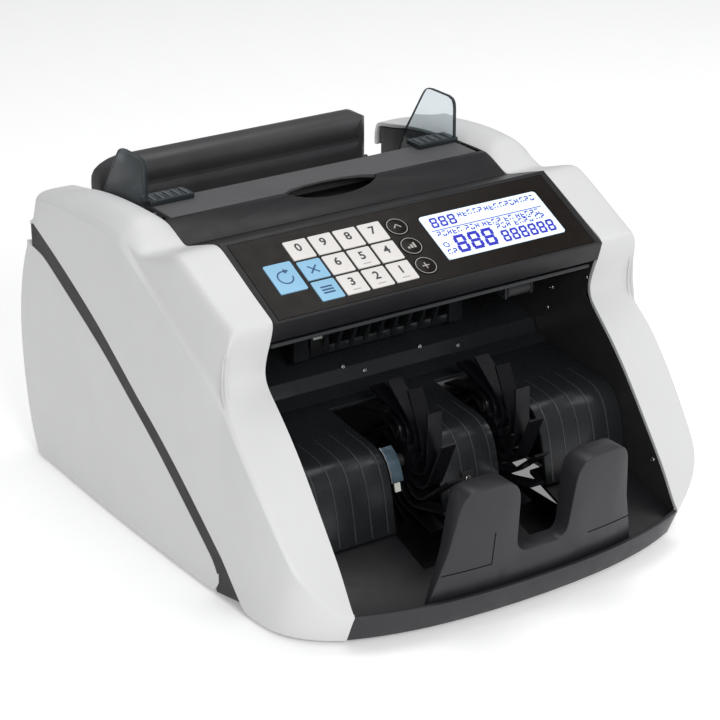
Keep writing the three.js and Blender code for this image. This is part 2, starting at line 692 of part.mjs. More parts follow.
/** Face of the stop plate, drawn in (x, z): two tabs with a gap between them. */
function stopPlate() {
  const tab = new THREE.Path();
  tab.moveTo(11, 37);
  tab.quadraticCurveTo(17.5, 38.5, 18, 46);
  tab.lineTo(19.5, 72);
  tab.quadraticCurveTo(20.5, 86, 33, 86);
  tab.lineTo(48, 86);
  tab.quadraticCurveTo(56.5, 86, 58.5, 75);
  tab.lineTo(62.5, 50);
  tab.lineTo(72.5, 14);
  const rightHalf = tab.getPoints(6).map((p) => [p.x, p.y]);
  const outline = [...rightHalf, ...rightHalf.map(([x, z]) => [-x, z]).reverse()];
  const face = alongY(outline, -170, -120);
  const arc = [];
  const steps = 16;
  for (let i = 0; i <= steps; i++) {
    const x = -76 + (152 * i) / steps;
    arc.push([x, frontY(x) - FRONT_DRAFT * 14 + 3.4]);
  }
  const plan = alongZ([...arc, [76, -137.5], [-76, -137.5]], 14, 87);
  const position = plan.attributes.position;
  for (let i = 0; i < position.count; i++) {
    const lean = position.getY(i) < -138 ? -0.145 : -0.03;
    position.setY(i, position.getY(i) + lean * (position.getZ(i) - 14));
  }
  return common(face, plan);
}

/** Outline of a stacker wheel in (y, z): swept-back flexible blades on a hub. */
function vaneOutline() {
  const { blades, blade, firstTip } = WHEEL;
  const points = [];
  for (let k = 0; k < blades; k++) {
    const tip = THREE.MathUtils.degToRad(firstTip + (k * 360) / blades);
    const line = BLADE.map(([r, behind]) => {
      const angle = tip + THREE.MathUtils.degToRad(behind);
      return [r * Math.cos(angle), r * Math.sin(angle)];
    });
    points.push(...beside([...line].reverse(), blade / 2), ...beside(line, blade / 2));
  }
  const shape = shapeOf(points);
  shape.holes.push(roundHole(0, 0, SHAFT_RADIUS + GAP, 16));
  return shape;
}

function stackerWheel() {
  return alongX(vaneOutline(), -WHEEL.width / 2, WHEEL.width / 2);
}

// ---------------------------------------------------------------- drive

const rod = (x0, x1, radius = SHAFT_RADIUS) => barrel(0, 0, radius, x0, x1, 16);

/** A shaft with equal rollers on both sides of the centre line. */
function rollerShaft(reach, radius, near, far) {
  return join(rod(-FRAME_INNER - FRAME_WALL, reach), barrel(0, 0, radius, -far, -near),
    barrel(0, 0, radius, near, far));
}

/** A belt pulley between two flanges, without its bore. */
function pulleyBlank(radius, x0, x1) {
  return join(barrel(0, 0, radius, x0, x1), barrel(0, 0, radius + 1.6, x0, x0 + 1),
    barrel(0, 0, radius + 1.6, x1 - 1, x1));
}

const bored = (geometry) => cut(geometry, barrel(0, 0, SHAFT_RADIUS + GAP, 100, 150, 16));

/** Closed belt around two pulleys, given as [y, z] centres and radii. */
function belt(first, firstRadius, second, secondRadius, x0, x1) {
  const distance = Math.hypot(second[0] - first[0], second[1] - first[1]);
  const heading = Math.atan2(second[1] - first[1], second[0] - first[0]);
  const lean = Math.acos((firstRadius - secondRadius) / distance);
  const loop = (extra) => {
    const points = [];
    const steps = 8;
    for (let i = 0; i <= steps; i++) {
      const angle = heading + lean + ((2 * Math.PI - 2 * lean) * i) / steps;
      points.push([first[0] + (firstRadius + extra) * Math.cos(angle),
        first[1] + (firstRadius + extra) * Math.sin(angle)]);
    }
    for (let i = 0; i <= steps; i++) {
      const angle = heading - lean + (2 * lean * i) / steps;
      points.push([second[0] + (secondRadius + extra) * Math.cos(angle),
        second[1] + (secondRadius + extra) * Math.sin(angle)]);
    }
    return points;
  };
  const shape = shapeOf(loop(1.7));
  shape.holes.push(shapeOf(loop(GAP + 0.2)));
  return alongX(shape, x0, x1);
}

const PULLEY = { motor: 9, drive: 12, feed: 10, stacker: 18 };
const BELT_PLANE = { inner: [120, 128], outer: [129, 137] };
const MOTOR = { radius: 26, x0: 46, x1: 110 };

function addDrive() {
  const at = ([y, z]) => [0, y, z];
  const { inner, outer } = BELT_PLANE;
  const shaftEnd = outer[1];
  const double = (radius) => join(pulleyBlank(radius, ...inner), pulleyBlank(radius, ...outer),
    barrel(0, 0, radius - 1, inner[1] - 1, outer[0] + 1));
  const addTurning = (name, geometry, material, axis) =>
    addPart(name, geometry, material, machine, at(axis));
  addTurning('feed_roller', rollerShaft(shaftEnd, 18, 29, 45), MATERIAL.rubber, FEED_AXIS);
  addTurning('feed_pulley', bored(pulleyBlank(PULLEY.feed, ...outer)), MATERIAL.black, FEED_AXIS);
  addTurning('drive_roller', rollerShaft(shaftEnd, 15.5, 4, 25), MATERIAL.rubber, DRIVE_AXIS);
  addTurning('drive_pulley', bored(double(PULLEY.drive)), MATERIAL.black, DRIVE_AXIS);
  addTurning('stacker_shaft', rod(-FRAME_INNER - FRAME_WALL, shaftEnd), MATERIAL.steel, STACKER_AXIS);
  const stackerPulley = bored(pulleyBlank(PULLEY.stacker, ...outer));
  addTurning('stacker_pulley', stackerPulley, MATERIAL.black, STACKER_AXIS);
  const motorCan = cut(
    barrel(0, 0, MOTOR.radius, MOTOR.x0, MOTOR.x1), barrel(0, 0, SHAFT_RADIUS + GAP, 60, 120, 16));
  addTurning('drive_motor', motorCan, MATERIAL.steel, MOTOR_AXIS);
  const motorShaft = join(rod(62, shaftEnd), double(PULLEY.motor));
  addTurning('motor_shaft', motorShaft, MATERIAL.steel, MOTOR_AXIS);
  const run = ([x0, x1]) => [x0 + 1.4, x1 - 1.4];
  const belts = {
    main_belt: belt(MOTOR_AXIS, PULLEY.motor, DRIVE_AXIS, PULLEY.drive, ...run(inner)),
    feed_belt: belt(DRIVE_AXIS, PULLEY.drive, FEED_AXIS, PULLEY.feed, ...run(outer)),
    stacker_belt: belt(MOTOR_AXIS, PULLEY.motor, STACKER_AXIS, PULLEY.stacker, ...run(outer)),
  };
  for (const [name, loop] of Object.entries(belts)) addPart(name, loop, MATERIAL.rubber);
}

// ---------------------------------------------------------------- electrics and small parts

const SUPPORT_Z = 3.4 + GAP;     // top of the base tray floor

const COMPONENTS = [             // on the main board: x from and to, y from and to, top
  [-80, -60, 30, 50, 18], [-45, -20, 60, 85, 13], [-8, 4, 34, 70, 20], [-84, -66, 74, 92, 24],
];

function mainBoard() {
  const plate = block(-98, 12, 20, 104, 8, 9.6);
  const posts = [[-94, 24], [-94, 100], [8, 24], [8, 100]].map(([x, y]) =>
    block(x - 3, x + 3, y - 3, y + 3, SUPPORT_Z, 9));
  const components = COMPONENTS.map(([x0, x1, y0, y1, top]) => block(x0, x1, y0, y1, 9, top));
  return join(plate, ...posts, ...components);
}

const INLET = { x0: 78, x1: 122, z0: 22, z1: 54, face: 200, depth: 14 };
const SWITCH = { x: 112, y: 198.5, z: 38, width: 12, height: 21, swing: THREE.MathUtils.degToRad(9) };

function powerInlet() {
  const { x0, x1, z0, z1, face, depth } = INLET;
  const socket = block(x0 + 3, x0 + 23, face - 10, face + 1, z0 + 8, z1 - 10);
  const { x, z, width, height } = SWITCH;
  const well = block(x - width / 2 - GAP, x + width / 2 + GAP, face - 9, face + 1,
    z - height / 2 - 0.8, z + height / 2 + 0.8);
  const prongs = [-5, 5, 0].map((dx, i) => {
    const z1Prong = i < 2 ? 36 : 41;
    return block(x0 + 12 + dx, x0 + 14 + dx, face - 11, face - 3, z1Prong - 5, z1Prong);
  });
  return join(cut(block(x0, x1, face - depth, face, z0, z1), socket, well), ...prongs);
}

/** Rocker of the power switch, tipped to its off position. */
function rocker() {
  const half = SWITCH.height / 2;
  return alongX([[-3.5, -half + 2.5], [1.2, -half], [-0.2, 0], [1.2, half], [-3.5, half - 2.5], [-6, 0]],
    -SWITCH.width / 2, SWITCH.width / 2);
}

const FOOT = { radius: 9, x: 118, front: -96, rear: 166 };

function addSmallParts() {
  addPart('main_board', mainBoard(), MATERIAL.board);
  addPart('power_supply', block(-96, -22, 112, 168, SUPPORT_Z, 46), MATERIAL.steel);
  addPart('power_inlet', powerInlet(), MATERIAL.black);
  const pivot = [SWITCH.x, SWITCH.y, SWITCH.z];
  const tipped = addPart('power_switch', rocker(), MATERIAL.black, machine, pivot);
  tipped.rotation.x = -SWITCH.swing;
  const knob = join(barrel(0, 0, 4.6, -8, 8, 20), rod(-9.8, 9.8, 1.5));
  addPart('gap_adjuster', knob, MATERIAL.trim, machine, [ADJUSTER.x, ADJUSTER.y, ADJUSTER.z]);
  for (const [end, y] of [['front', FOOT.front], ['rear', FOOT.rear]]) {
    for (const [side, x] of [['left', -FOOT.x], ['right', FOOT.x]]) {
      const foot = new THREE.CylinderGeometry(FOOT.radius, FOOT.radius - 1, FOOT_HEIGHT + 0.1, 24);
      foot.rotateX(Math.PI / 2);
      addPart(`${side}_${end}_foot`, foot, MATERIAL.rubber, machine, [x, y, (0.1 - FOOT_HEIGHT) / 2]);
    }
  }
}

// ---------------------------------------------------------------- assembly

addPart('base_tray', baseTray(), MATERIAL.black);
addPair('side_shell', sideShell(), MATERIAL.white);
addPair('trim_strip', trimStrip(), MATERIAL.trim);
addPart('rear_housing', rearHousing(), MATERIAL.white);
addPair('side_frame', sideFrame(), MATERIAL.black);
addConsole();
addPart('comb_guide', combGuide(), MATERIAL.black);
addPart('hopper_frame', hopperFrame(), MATERIAL.black);
addPart('hopper_lid', hopperLid(), MATERIAL.lid);
addPart('front_cover', frontCover(), MATERIAL.black);
addPair('note_guide', noteGuide(), MATERIAL.smoke);
addPart('stacker_floor', stackerFloor(), MATERIAL.black);
addPart('stacker_back_plate', stackerBackPlate(), MATERIAL.black);
addPart('lower_guide', lowerGuide(), MATERIAL.black);
addPart('stop_plate', stopPlate(), MATERIAL.black);
for (const [name, x] of [['left_stacker_wheel', -WHEEL.x], ['right_stacker_wheel', WHEEL.x]]) {
  addPart(name, stackerWheel(), MATERIAL.vane, machine, [x, ...STACKER_AXIS]);
}
addDrive();
addSmallParts();

machine.position.set(0, (FRONT_REACH - REAR_REACH) / 2, FOOT_HEIGHT);
machine.updateMatrixWorld(true);

export default machine;
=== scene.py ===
"""Banknote counting machine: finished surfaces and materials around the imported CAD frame.

Casing shapes are worked out in millimetres in the casing's drawing axes, whose origin lies
SHIFT away from the frame's; at() turns such a point into a frame position in metres.
X runs across the machine, Y from its front to its back and Z upwards.
"""

import json
import math

import bmesh
import bpy
from mathutils import Matrix, Vector


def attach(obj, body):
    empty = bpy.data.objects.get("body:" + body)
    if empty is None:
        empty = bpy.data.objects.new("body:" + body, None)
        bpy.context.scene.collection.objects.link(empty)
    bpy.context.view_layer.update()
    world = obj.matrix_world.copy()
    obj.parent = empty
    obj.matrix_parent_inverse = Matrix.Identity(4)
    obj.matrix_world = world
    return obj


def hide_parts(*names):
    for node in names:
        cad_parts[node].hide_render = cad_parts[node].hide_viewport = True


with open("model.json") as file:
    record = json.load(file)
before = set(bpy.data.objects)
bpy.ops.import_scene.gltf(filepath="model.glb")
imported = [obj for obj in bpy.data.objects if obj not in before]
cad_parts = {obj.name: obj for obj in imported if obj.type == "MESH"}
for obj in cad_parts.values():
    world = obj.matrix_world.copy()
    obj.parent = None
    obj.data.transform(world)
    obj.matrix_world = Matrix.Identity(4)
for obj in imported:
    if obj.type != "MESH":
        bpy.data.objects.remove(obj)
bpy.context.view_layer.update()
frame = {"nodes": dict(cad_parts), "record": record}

MM = 0.001
SHIFT = Vector((0.0, -24.5, 3.0))    # from the drawing axes to the frame's

INNER = 115.0        # half width between the white side shells
CREASE_X = 148.0     # half width at the crease of the side shells
SHELL = 2.4          # wall of the white shells and the dark band
RIM = 0.7            # rounding of the white shells' rims
CONSOLE_NOSE = (-54.3, 163.5)           # (y, z) of the console face's lower edge
CONSOLE_SLOPE = math.radians(26.29)
LIFT = 0.06          # printed marks stand this far off their surface
PRINT = 0.03         # thickness of a printed mark


def at(x, y, z):
    """The frame position of a point given in the drawing axes."""
    return (Vector((x, y, z)) + SHIFT) * MM


# ---------------------------------------------------------------- materials

MOTTLE_SCALE, ROUGH_SCALE = 35.0, 120.0     # noise scales of the colour and roughness variation
CENTRE = (0.35, 0.65)                       # the part of the noise over which the colour changes


def noise(tree, scale, detail=2.0, roughness=0.5):
    """Noise in object space, so that it doesn't stretch over a face."""
    coords = tree.nodes.new("ShaderNodeTexCoord")
    texture = tree.nodes.new("ShaderNodeTexNoise")
    texture.inputs["Scale"].default_value = scale
    texture.inputs["Detail"].default_value = detail
    texture.inputs["Roughness"].default_value = roughness
    tree.links.new(coords.outputs["Object"], texture.inputs["Vector"])
    return texture.outputs["Fac"]


def spread(tree, factor, low, high):
    """Maps a noise value onto a narrow range of numbers."""
    node = tree.nodes.new("ShaderNodeMapRange")
    node.inputs["From Min"].default_value = 0.3
    node.inputs["From Max"].default_value = 0.7
    node.inputs["To Min"].default_value = low
    node.inputs["To Max"].default_value = high
    tree.links.new(factor, node.inputs["Value"])
    return node.outputs["Result"]


def material(name, slot, colour, roughness, grain=900.0, depth=0.02, mottle=0.06, metallic=0.0,
             specular=0.5, rough_spread=0.05):
    """Moulded or finished surface: colour mottling, roughness variation and a fine grain."""
    made = bpy.data.materials.new(name)
    made["part_slot"] = slot
    made.use_nodes = True
    tree = made.node_tree
    shader = tree.nodes["Principled BSDF"]
    shader.inputs["Metallic"].default_value = metallic
    shader.inputs["Specular IOR Level"].default_value = specular
    ramp = tree.nodes.new("ShaderNodeValToRGB")
    for element, tone, position in zip(ramp.color_ramp.elements, (1 - mottle, 1 + mottle), CENTRE):
        element.color = (*[min(c * tone, 1.0) for c in colour], 1.0)
        element.position = position
    tree.links.new(noise(tree, MOTTLE_SCALE, 4.0), ramp.inputs["Fac"])
    tree.links.new(ramp.outputs["Color"], shader.inputs["Base Color"])
    rough = spread(tree, noise(tree, ROUGH_SCALE, 3.0), roughness - rough_spread, roughness + rough_spread)
    tree.links.new(rough, shader.inputs["Roughness"])
    bump = tree.nodes.new("ShaderNodeBump")
    bump.inputs["Strength"].default_value = 0.5
    bump.inputs["Distance"].default_value = depth * MM
    tree.links.new(noise(tree, grain, 2.0, 0.7), bump.inputs["Height"])
    tree.links.new(bump.outputs["Normal"], shader.inputs["Normal"])
    return made


def clear_material():
    """Smoke-tinted clear moulding."""
    made = material("smoke_clear", "smoke_clear", (0.74, 0.80, 0.83), 0.08, grain=60.0, depth=0.01,
                    mottle=0.02, rough_spread=0.02)
    shader = made.node_tree.nodes["Principled BSDF"]
    shader.inputs["Transmission Weight"].default_value = 0.97
    shader.inputs["IOR"].default_value = 1.12
    return made


def screen_material():
    """Backlit display, pale blue-white and slightly uneven."""
    made = material("lit_screen", "screen", (0.74, 0.85, 1.0), 0.2, grain=2500.0, depth=0.004, mottle=0.02,
                    specular=0.3)
    tree = made.node_tree
    shader = tree.nodes["Principled BSDF"]
    glow = tree.nodes.new("ShaderNodeValToRGB")
    glow.color_ramp.elements[0].color = (0.62, 0.80, 1.0, 1.0)
    glow.color_ramp.elements[1].color = (0.86, 0.95, 1.0, 1.0)
    tree.links.new(noise(tree, 14.0, 1.0), glow.inputs["Fac"])
    tree.links.new(glow.outputs["Color"], shader.inputs["Emission Color"])
    shader.inputs["Emission Strength"].default_value = 0.35
    return made


WHITE = material("white_moulding", "white_shell", (0.70, 0.70, 0.70), 0.45, grain=1400.0, depth=0.010,
                 mottle=0.010, specular=0.35)
BLACK = material("black_moulding", "black_plastic", (0.010, 0.010, 0.0115), 0.42, grain=1500.0, depth=0.03,
                 mottle=0.12, specular=0.28)
GREY = material("grey_moulding", "black_plastic", (0.030, 0.030, 0.034), 0.45, grain=1500.0, depth=0.03,
                mottle=0.08, specular=0.32)
HOPPER = material("hopper_moulding", "black_plastic", (0.046, 0.046, 0.048), 0.38, grain=1500.0, depth=0.03,
                  mottle=0.08, specular=0.36)
STOP = material("stop_moulding", "black_plastic", (0.021, 0.021, 0.025), 0.38, grain=1500.0, depth=0.02,
                mottle=0.08, specular=0.42)
SATIN = material("satin_black", "black_plastic", (0.017, 0.0185, 0.0205), 0.26, grain=1100.0, depth=0.008,
                 mottle=0.10, specular=0.32)
TRIM = material("trim_moulding", "trim_grey", (0.040, 0.040, 0.042), 0.60, grain=1500.0, depth=0.05,
                mottle=0.10, specular=0.25)
PANEL = material("panel_film", "gloss_panel", (0.0105, 0.008, 0.0065), 0.24, grain=500.0, depth=0.002,
                 mottle=0.10, specular=0.10)
LID = material("lid_moulding", "lid_grey", (0.092, 0.092, 0.095), 0.50, grain=1500.0, depth=0.04,
               mottle=0.05, specular=0.35)
KEY = material("key_print", "key_white", (0.76, 0.735, 0.71), 0.45, depth=0.006,
               mottle=0.012, specular=0.3)
BLUE_KEY = material("blue_key_print", "key_blue", (0.285, 0.545, 0.75), 0.42, depth=0.006,
                    mottle=0.03, specular=0.3)
INK = material("dark_ink", "gloss_panel", (0.03, 0.03, 0.035), 0.5, depth=0.003)
BLUE_INK = material("blue_ink", "key_blue", (0.02, 0.08, 0.20), 0.5, depth=0.003)
PALE_INK = material("pale_ink", "key_white", (0.42, 0.40, 0.38), 0.5, depth=0.003)
SEGMENT = material("display_segment", "screen", (0.012, 0.008, 0.52), 0.35, depth=0.003)
RUBBER = material("rubber", "rubber", (0.018, 0.018, 0.018), 0.78, grain=700.0, depth=0.06, mottle=0.15,
                  specular=0.25)
VANE = material("vane_moulding", "vane", (0.006, 0.006, 0.008), 0.30, depth=0.01, mottle=0.12,
                specular=0.20)
STEEL = material("turned_steel", "steel", (0.52, 0.52, 0.53), 0.30, grain=1600.0, depth=0.01, mottle=0.06,
                 metallic=1.0)
COATED = material("coated_steel", "painted_steel", (0.026, 0.026, 0.027), 0.42, depth=0.03,
                  mottle=0.10, specular=0.3)
BOARD = material("solder_mask", "board_green", (0.015, 0.11, 0.035), 0.35, grain=700.0, depth=0.01,
                 mottle=0.15)
MIRROR = material("sensor_window", "steel", (0.10, 0.15, 0.19), 0.22, grain=160.0, depth=0.25, mottle=0.55,
                  metallic=0.5)
SCREW = material("screw_steel", "steel", (0.42, 0.42, 0.43), 0.24, depth=0.01, metallic=1.0)
# The drum's ribs are real raised ribs; their colour, lighter than the drum, is a painted highlight along
# them.
PAINTED_RIB_HIGHLIGHT = material("rib_highlight", "black_plastic", (0.045, 0.047, 0.05), 0.30, depth=0.01)
PALE = material("pale_moulding", "key_white", (0.62, 0.64, 0.58), 0.4, depth=0.01)
LABEL = material("rating_foil", "steel", (0.33, 0.34, 0.35), 0.35, grain=1200.0, depth=0.004, metallic=0.4)
CLEAR_RIB = material("rib_moulding", "smoke_clear", (0.10, 0.12, 0.135), 0.25, depth=0.01)
SMOKE = material("smoke_moulding", "smoke_clear", (0.020, 0.026, 0.030), 0.22, depth=0.01,
                 mottle=0.10)
CLEAR = clear_material()
SCREEN = screen_material()

# ---------------------------------------------------------------- mesh helpers


def add_piece(name, mesh, finish, body="machine", stands_for=()):
    """Links a mesh as a piece that rides on a body and may stand for CAD nodes."""
    piece = bpy.data.objects.new(name, mesh)
    bpy.context.scene.collection.objects.link(piece)
    mesh.materials.clear()
    mesh.materials.append(finish)
    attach(piece, body)
    if stands_for:
        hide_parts(*stands_for)
    return piece


def mesh_of(name, points, faces):
    """A mesh from points in metres and faces."""
    mesh = bpy.data.meshes.new(name)
    mesh.from_pydata([tuple(p) for p in points], [], faces)
    mesh.validate()
    return mesh


def from_bmesh(name, shape):
    """A mesh from a bmesh, which it frees."""
    mesh = bpy.data.meshes.new(name)
    shape.to_mesh(mesh)
    shape.free()
    return mesh


def shade(mesh, angle):
    """Smooth shading that keeps edges sharper than an angle."""
    shape = bmesh.new()
    shape.from_mesh(mesh)
    limit = math.radians(angle)
    for face in shape.faces:
        face.smooth = True
    for edge in shape.edges:
        edge.smooth = len(edge.link_faces) == 2 and edge.calc_face_angle(0.0) < limit
    shape.to_mesh(mesh)
    shape.free()


def grid_mesh(name, rows, mirror=False):
    """A surface through rows of points, given in drawing millimetres."""
    points = [at(-x if mirror else x, y, z) for row in rows for x, y, z in row]
    width = len(rows[0])
    faces = []
    for r in range(len(rows) - 1):
        for c in range(width - 1):
            corner = r * width + c
            face = (corner, corner + 1, corner + width + 1, corner + width)
            faces.append(face[::-1] if mirror else face)
    return mesh_of(name, points, faces)


def applied(mesh, *modifiers):
    """The mesh with modifiers run on it; each is (type, {setting: value})."""
    holder = bpy.data.objects.new("holder", mesh)
    bpy.context.scene.collection.objects.link(holder)
    for kind, settings in modifiers:
        modifier = holder.modifiers.new(kind.lower(), kind)
        for key, value in settings.items():
            setattr(modifier, key, value)
    graph = bpy.context.evaluated_depsgraph_get()
    result = bpy.data.meshes.new_from_object(holder.evaluated_get(graph))
    bpy.data.objects.remove(holder)
    return result


def bevel(width, segments=2, angle=25.0):
    """Rounds the edges sharper than an angle."""
    return ("BEVEL", {"width": width * MM, "segments": segments, "limit_method": "ANGLE",
                      "angle_limit": math.radians(angle), "harden_normals": False,
                      "use_clamp_overlap": True, "miter_outer": "MITER_SHARP"})


def subdivide(levels):
    """Smooths a grid through its points."""
    return ("SUBSURF", {"levels": levels, "render_levels": levels, "boundary_smooth": "PRESERVE_CORNERS"})


def thicken(wall):
    """A wall of one thickness behind the surface."""
    return ("SOLIDIFY", {"thickness": wall * MM, "offset": -1.0, "use_even_offset": True})


def carved(mesh, tool):
    """The mesh with a closed tool mesh taken out of it."""
    cutter = bpy.data.objects.new("cutter", tool)
    bpy.context.scene.collection.objects.link(cutter)
    result = applied(mesh, ("BOOLEAN", {"operation": "DIFFERENCE", "object": cutter, "solver": "EXACT"}))
    bpy.data.objects.remove(cutter)
    return result


def box_mesh(low, high):
    """A box between two drawing corners."""
    shape = bmesh.new()
    bmesh.ops.create_cube(shape, size=1.0)
    size = [b - a for a, b in zip(low, high)]
    centre = [(a + b) / 2 for a, b in zip(low, high)]
    for vertex in shape.verts:
        vertex.co = at(*[c + s * v for c, s, v in zip(centre, size, vertex.co)])
    return from_bmesh("box", shape)


WELD = 0.01                    # points closer than this are one point
FLAT = math.radians(1.5)       # faces closer than this to one plane are one face


def copy_of_node(node):
    """The CAD node's own mesh, welded, with its flat faces joined."""
    shape = bmesh.new()
    shape.from_mesh(frame["nodes"][node].data)
    bmesh.ops.remove_doubles(shape, verts=shape.verts, dist=WELD * MM)
    bmesh.ops.dissolve_limit(shape, angle_limit=FLAT, verts=shape.verts, edges=shape.edges)
    bmesh.ops.recalc_face_normals(shape, faces=shape.faces)
    return from_bmesh(node + "_fine", shape)


def body_of_node(node):
    """The name of the body that carries a CAD node."""
    for body, members in frame["record"]["behaviour"]["bodies"].items():
        if node in members:
            return body
    raise KeyError(node)


def refine(node, finish, width, segments):
    """A rounded-edge version of a CAD node that stands for it.

    Its faces with more than four sides are split, so that a face with a hollow outline covers only itself.
    """
    mesh = applied(copy_of_node(node), bevel(width, segments), ("TRIANGULATE", {"min_vertices": 5}))
    shade(mesh, 38.0)
    return add_piece(node + "_fine", mesh, finish, body_of_node(node), [node])


def keep(node, finish):
    """Leaves a CAD node showing, with a finished material."""
    mesh = frame["nodes"][node].data
    mesh.materials.clear()
    mesh.materials.append(finish)


def lerp(a, b, t):
    """The point a share of the way from one point to another."""
    return tuple(p + (q - p) * t for p, q in zip(a, b))


def smoothstep(t):
    """Rises from 0 to 1 with level ends."""
    t = min(max(t, 0.0), 1.0)
    return t * t * (3 - 2 * t)


def table_value(table, x):
    """Linear reading of a table of (x, value) pairs."""
    if x <= table[0][0]:
        return table[0][1]
    for (x0, v0), (x1, v1) in zip(table, table[1:]):
        if x <= x1:
            return v0 + (v1 - v0) * (x - x0) / (x1 - x0)
    return table[-1][1]


def bezier(points, t):
    """A point on a cubic curve."""
    a, b, c, d = points
    s = 1 - t
    weights = (s ** 3, 3 * s * s * t, 3 * s * t * t, t ** 3)
    return tuple(sum(w * p[i] for w, p in zip(weights, (a, b, c, d))) for i in range(len(a)))


# ---------------------------------------------------------------- white casing

BAND_GAP = 1.8        # the shells stop this far above the dark band's drawn edge
BAND_GAP_OPENS = 30   # height over which that gap opens from nothing
FRONT_DRAFT = 0.46    # the front face comes forward this much for each unit of height
# Plan curves of the casing: its front corner and its side, as (x, y) control points.
CORNER = ((INNER, -125.0), (131.0, -115.0), (145.0, -103.0), (145.0, -78.0))
FLANK = ((145.0, -78.0), (149.0, 10.0), (149.5, 90.0), (147.3, 160.0))
# Upper and lower edge of the dark band, as (y, z) points.
STRIP_TOP = [(-67, 0), (-44, 23.8), (-22.5, 41.8), (0, 59.8), (21.5, 75.5), (44.3, 89.7), (75.6, 110.4),
             (91, 120.3), (115, 132.7), (140, 144), (166, 154.8), (178, 159.5)]
STRIP_LOW = [(-36, 0), (-40, 8), (-37, 17.4), (-22, 30), (0, 47.7), (22, 65), (54, 86), (92, 109.6),
             (104, 115), (129, 126.8), (154, 138), (168, 143.5), (176, 146)]
REAR_EDGE = STRIP_LOW[1:]   # the part of the lower edge that rises towards the back
HALVINGS = 24               # of the search for a place on the side's plan curve


def flank_x(y):
    """Half width of the casing at a distance along it."""
    if y <= FLANK[0][1]:
        return FLANK[0][0]
    low, high = 0.0, 1.0
    for _ in range(HALVINGS):
        middle = (low + high) / 2
        if bezier(FLANK, middle)[1] < y:
            low = middle
        else:
            high = middle
    return bezier(FLANK, low)[0]


# Rows of the side shell: inner edge (y, z), crease (y, z), foot of the side (y, z), and how
# much the section is a flat shelf with a steep flank (1) instead of a plain slope (0).
SHELL_ROWS = [
    ((-79.3, 93), (-85, 84.5), (-74, 0), 0.0),
    ((-62.2, 109.6), (-69, 101.5), (-67, 0), 0.0),
    ((-54, 117), (-62.5, 108.3), (-62, 5.2), 0.1),
    ((-48, 122.4), (-59.5, 111), (-58, 9.4), 0.3),
    ((-45, 126.5), (-57, 113.2), (-55, 12.5), 0.52),
    ((-44.2, 131.5), (-55, 115), (-53, 14.6), 0.72),
    ((-44.6, 136), (-53, 116.6), (-51, 16.7), 0.88),
    ((-47.5, 145), (-50, 119), (-48.5, 19.3), 0.97),
    ((-50.5, 152), (-47.5, 121), (-46, 21.8), 1.0),
    ((-53.4, 161), (-45.5, 122.4), (-44, 23.8), 1.0),
    ((-53.2, 164.6), (-44, 123.6), (-42.5, 25), 1.0),
    ((-49.8, 166.6), (-42, 125), (-41, 26.2), 1.0),
    ((-38, 171.6), (-35, 130), (-34, 32), 1.0),
    ((-20, 180.5), (-19, 139.3), (-18, 45.4), 1.0),
    ((-5, 187.9), (-4, 147.4), (-4, 56.6), 1.0),
    ((2, 191), (5, 152.3), (4, 62.7), 1.0),
    ((7.5, 191.4), (12, 156.2), (12, 68.6), 1.0),
    ((22, 186.2), (26, 164), (26, 78.4), 1.0),
    ((36, 181.3), (38, 170.2), (38, 85.8), 1.0),
    ((41.3, 179.5), (43, 172.6), (43, 89), 1.0),
    ((46, 181.2), (48, 174.6), (48, 92.2), 0.7),
    ((58, 186.6), (56.5, 179), (57, 98.2), 0.0),
    ((64, 188.2), (62.5, 183.2), (63, 102.2), 0.0),
    ((78, 188), (78, 184.8), (78, 112), 0.0),
    ((95, 187.6), (95, 185), (95, 122.4), 0.0),
    ((120, 186.5), (120, 184.4), (120, 135), 0.0),
    ((148, 183), (146, 182.2), (148, 147.4), 0.0),
    ((168, 178.6), (163, 178.6), (164, 153.8), 0.0),
    ((181, 176.8), (171.5, 176.8), (169.5, 156.2), 0.0),
    ((185.6, 175.2), (174.5, 175.2), (172, 157.2), 0.0),
    ((187.6, 171), (176.5, 171.5), (174, 158), 0.0),
    ((188.6, 165.6), (177.5, 166), (175.5, 158.6), 0.0),
    ((188.4, 159.8), (178, 160.2), (177.5, 159.4), 0.0),
]
CREASE_SWING = 60.0       # length over which the crease swings out to its full width
NECK_WAIST = 1.5          # the crease comes in this much beside the neck
NECK_Y, NECK_REACH = -49.0, 22.0    # the neck's middle, and how far the waist reaches each way
REAR_ROUND_FROM = 160.0   # behind this the shell's plan turns its rear corner
REAR_TURN_IN = 4.5        # how far the crease comes in round that corner
REAR_TURN_LENGTH = 20.0
TOP_TURN_LENGTH = 24.0    # length over which the section changes to that of the rear corner
# Height of the shell's rounded top over the line from its inner edge to the crease, along Y.
CROWN = [(40, 0), (62, 8.5), (100, 8.5), (145, 5), (172, 1.5), (188, 0)]
# Front edge of the shell beside the pocket, as (y, height).
FRONT_BAND = [(-132.5, 18.5), (-119, 41), (-99.2, 67), (-79.3, 93), (-62, 110)]
FRONT_STEPS = 7


def front_rows():
    """Rows round the front corner, where the side stands on the plan's corner curve."""
    rows = []
    for i in range(FRONT_STEPS):
        x, y = bezier(CORNER, i / FRONT_STEPS)
        height = FRONT_BAND[0][1]
        for _ in range(30):     # settles on the height where the leaning side meets the front edge
            height += 0.5 * (table_value(FRONT_BAND, y - FRONT_DRAFT * height) - height)
        ledge = y - FRONT_DRAFT * height
        rows.append({"inner": (ledge, height), "crease": (x, ledge, height), "foot": (x, y, 0.0),
                     "shelf": 0.0})
    return rows


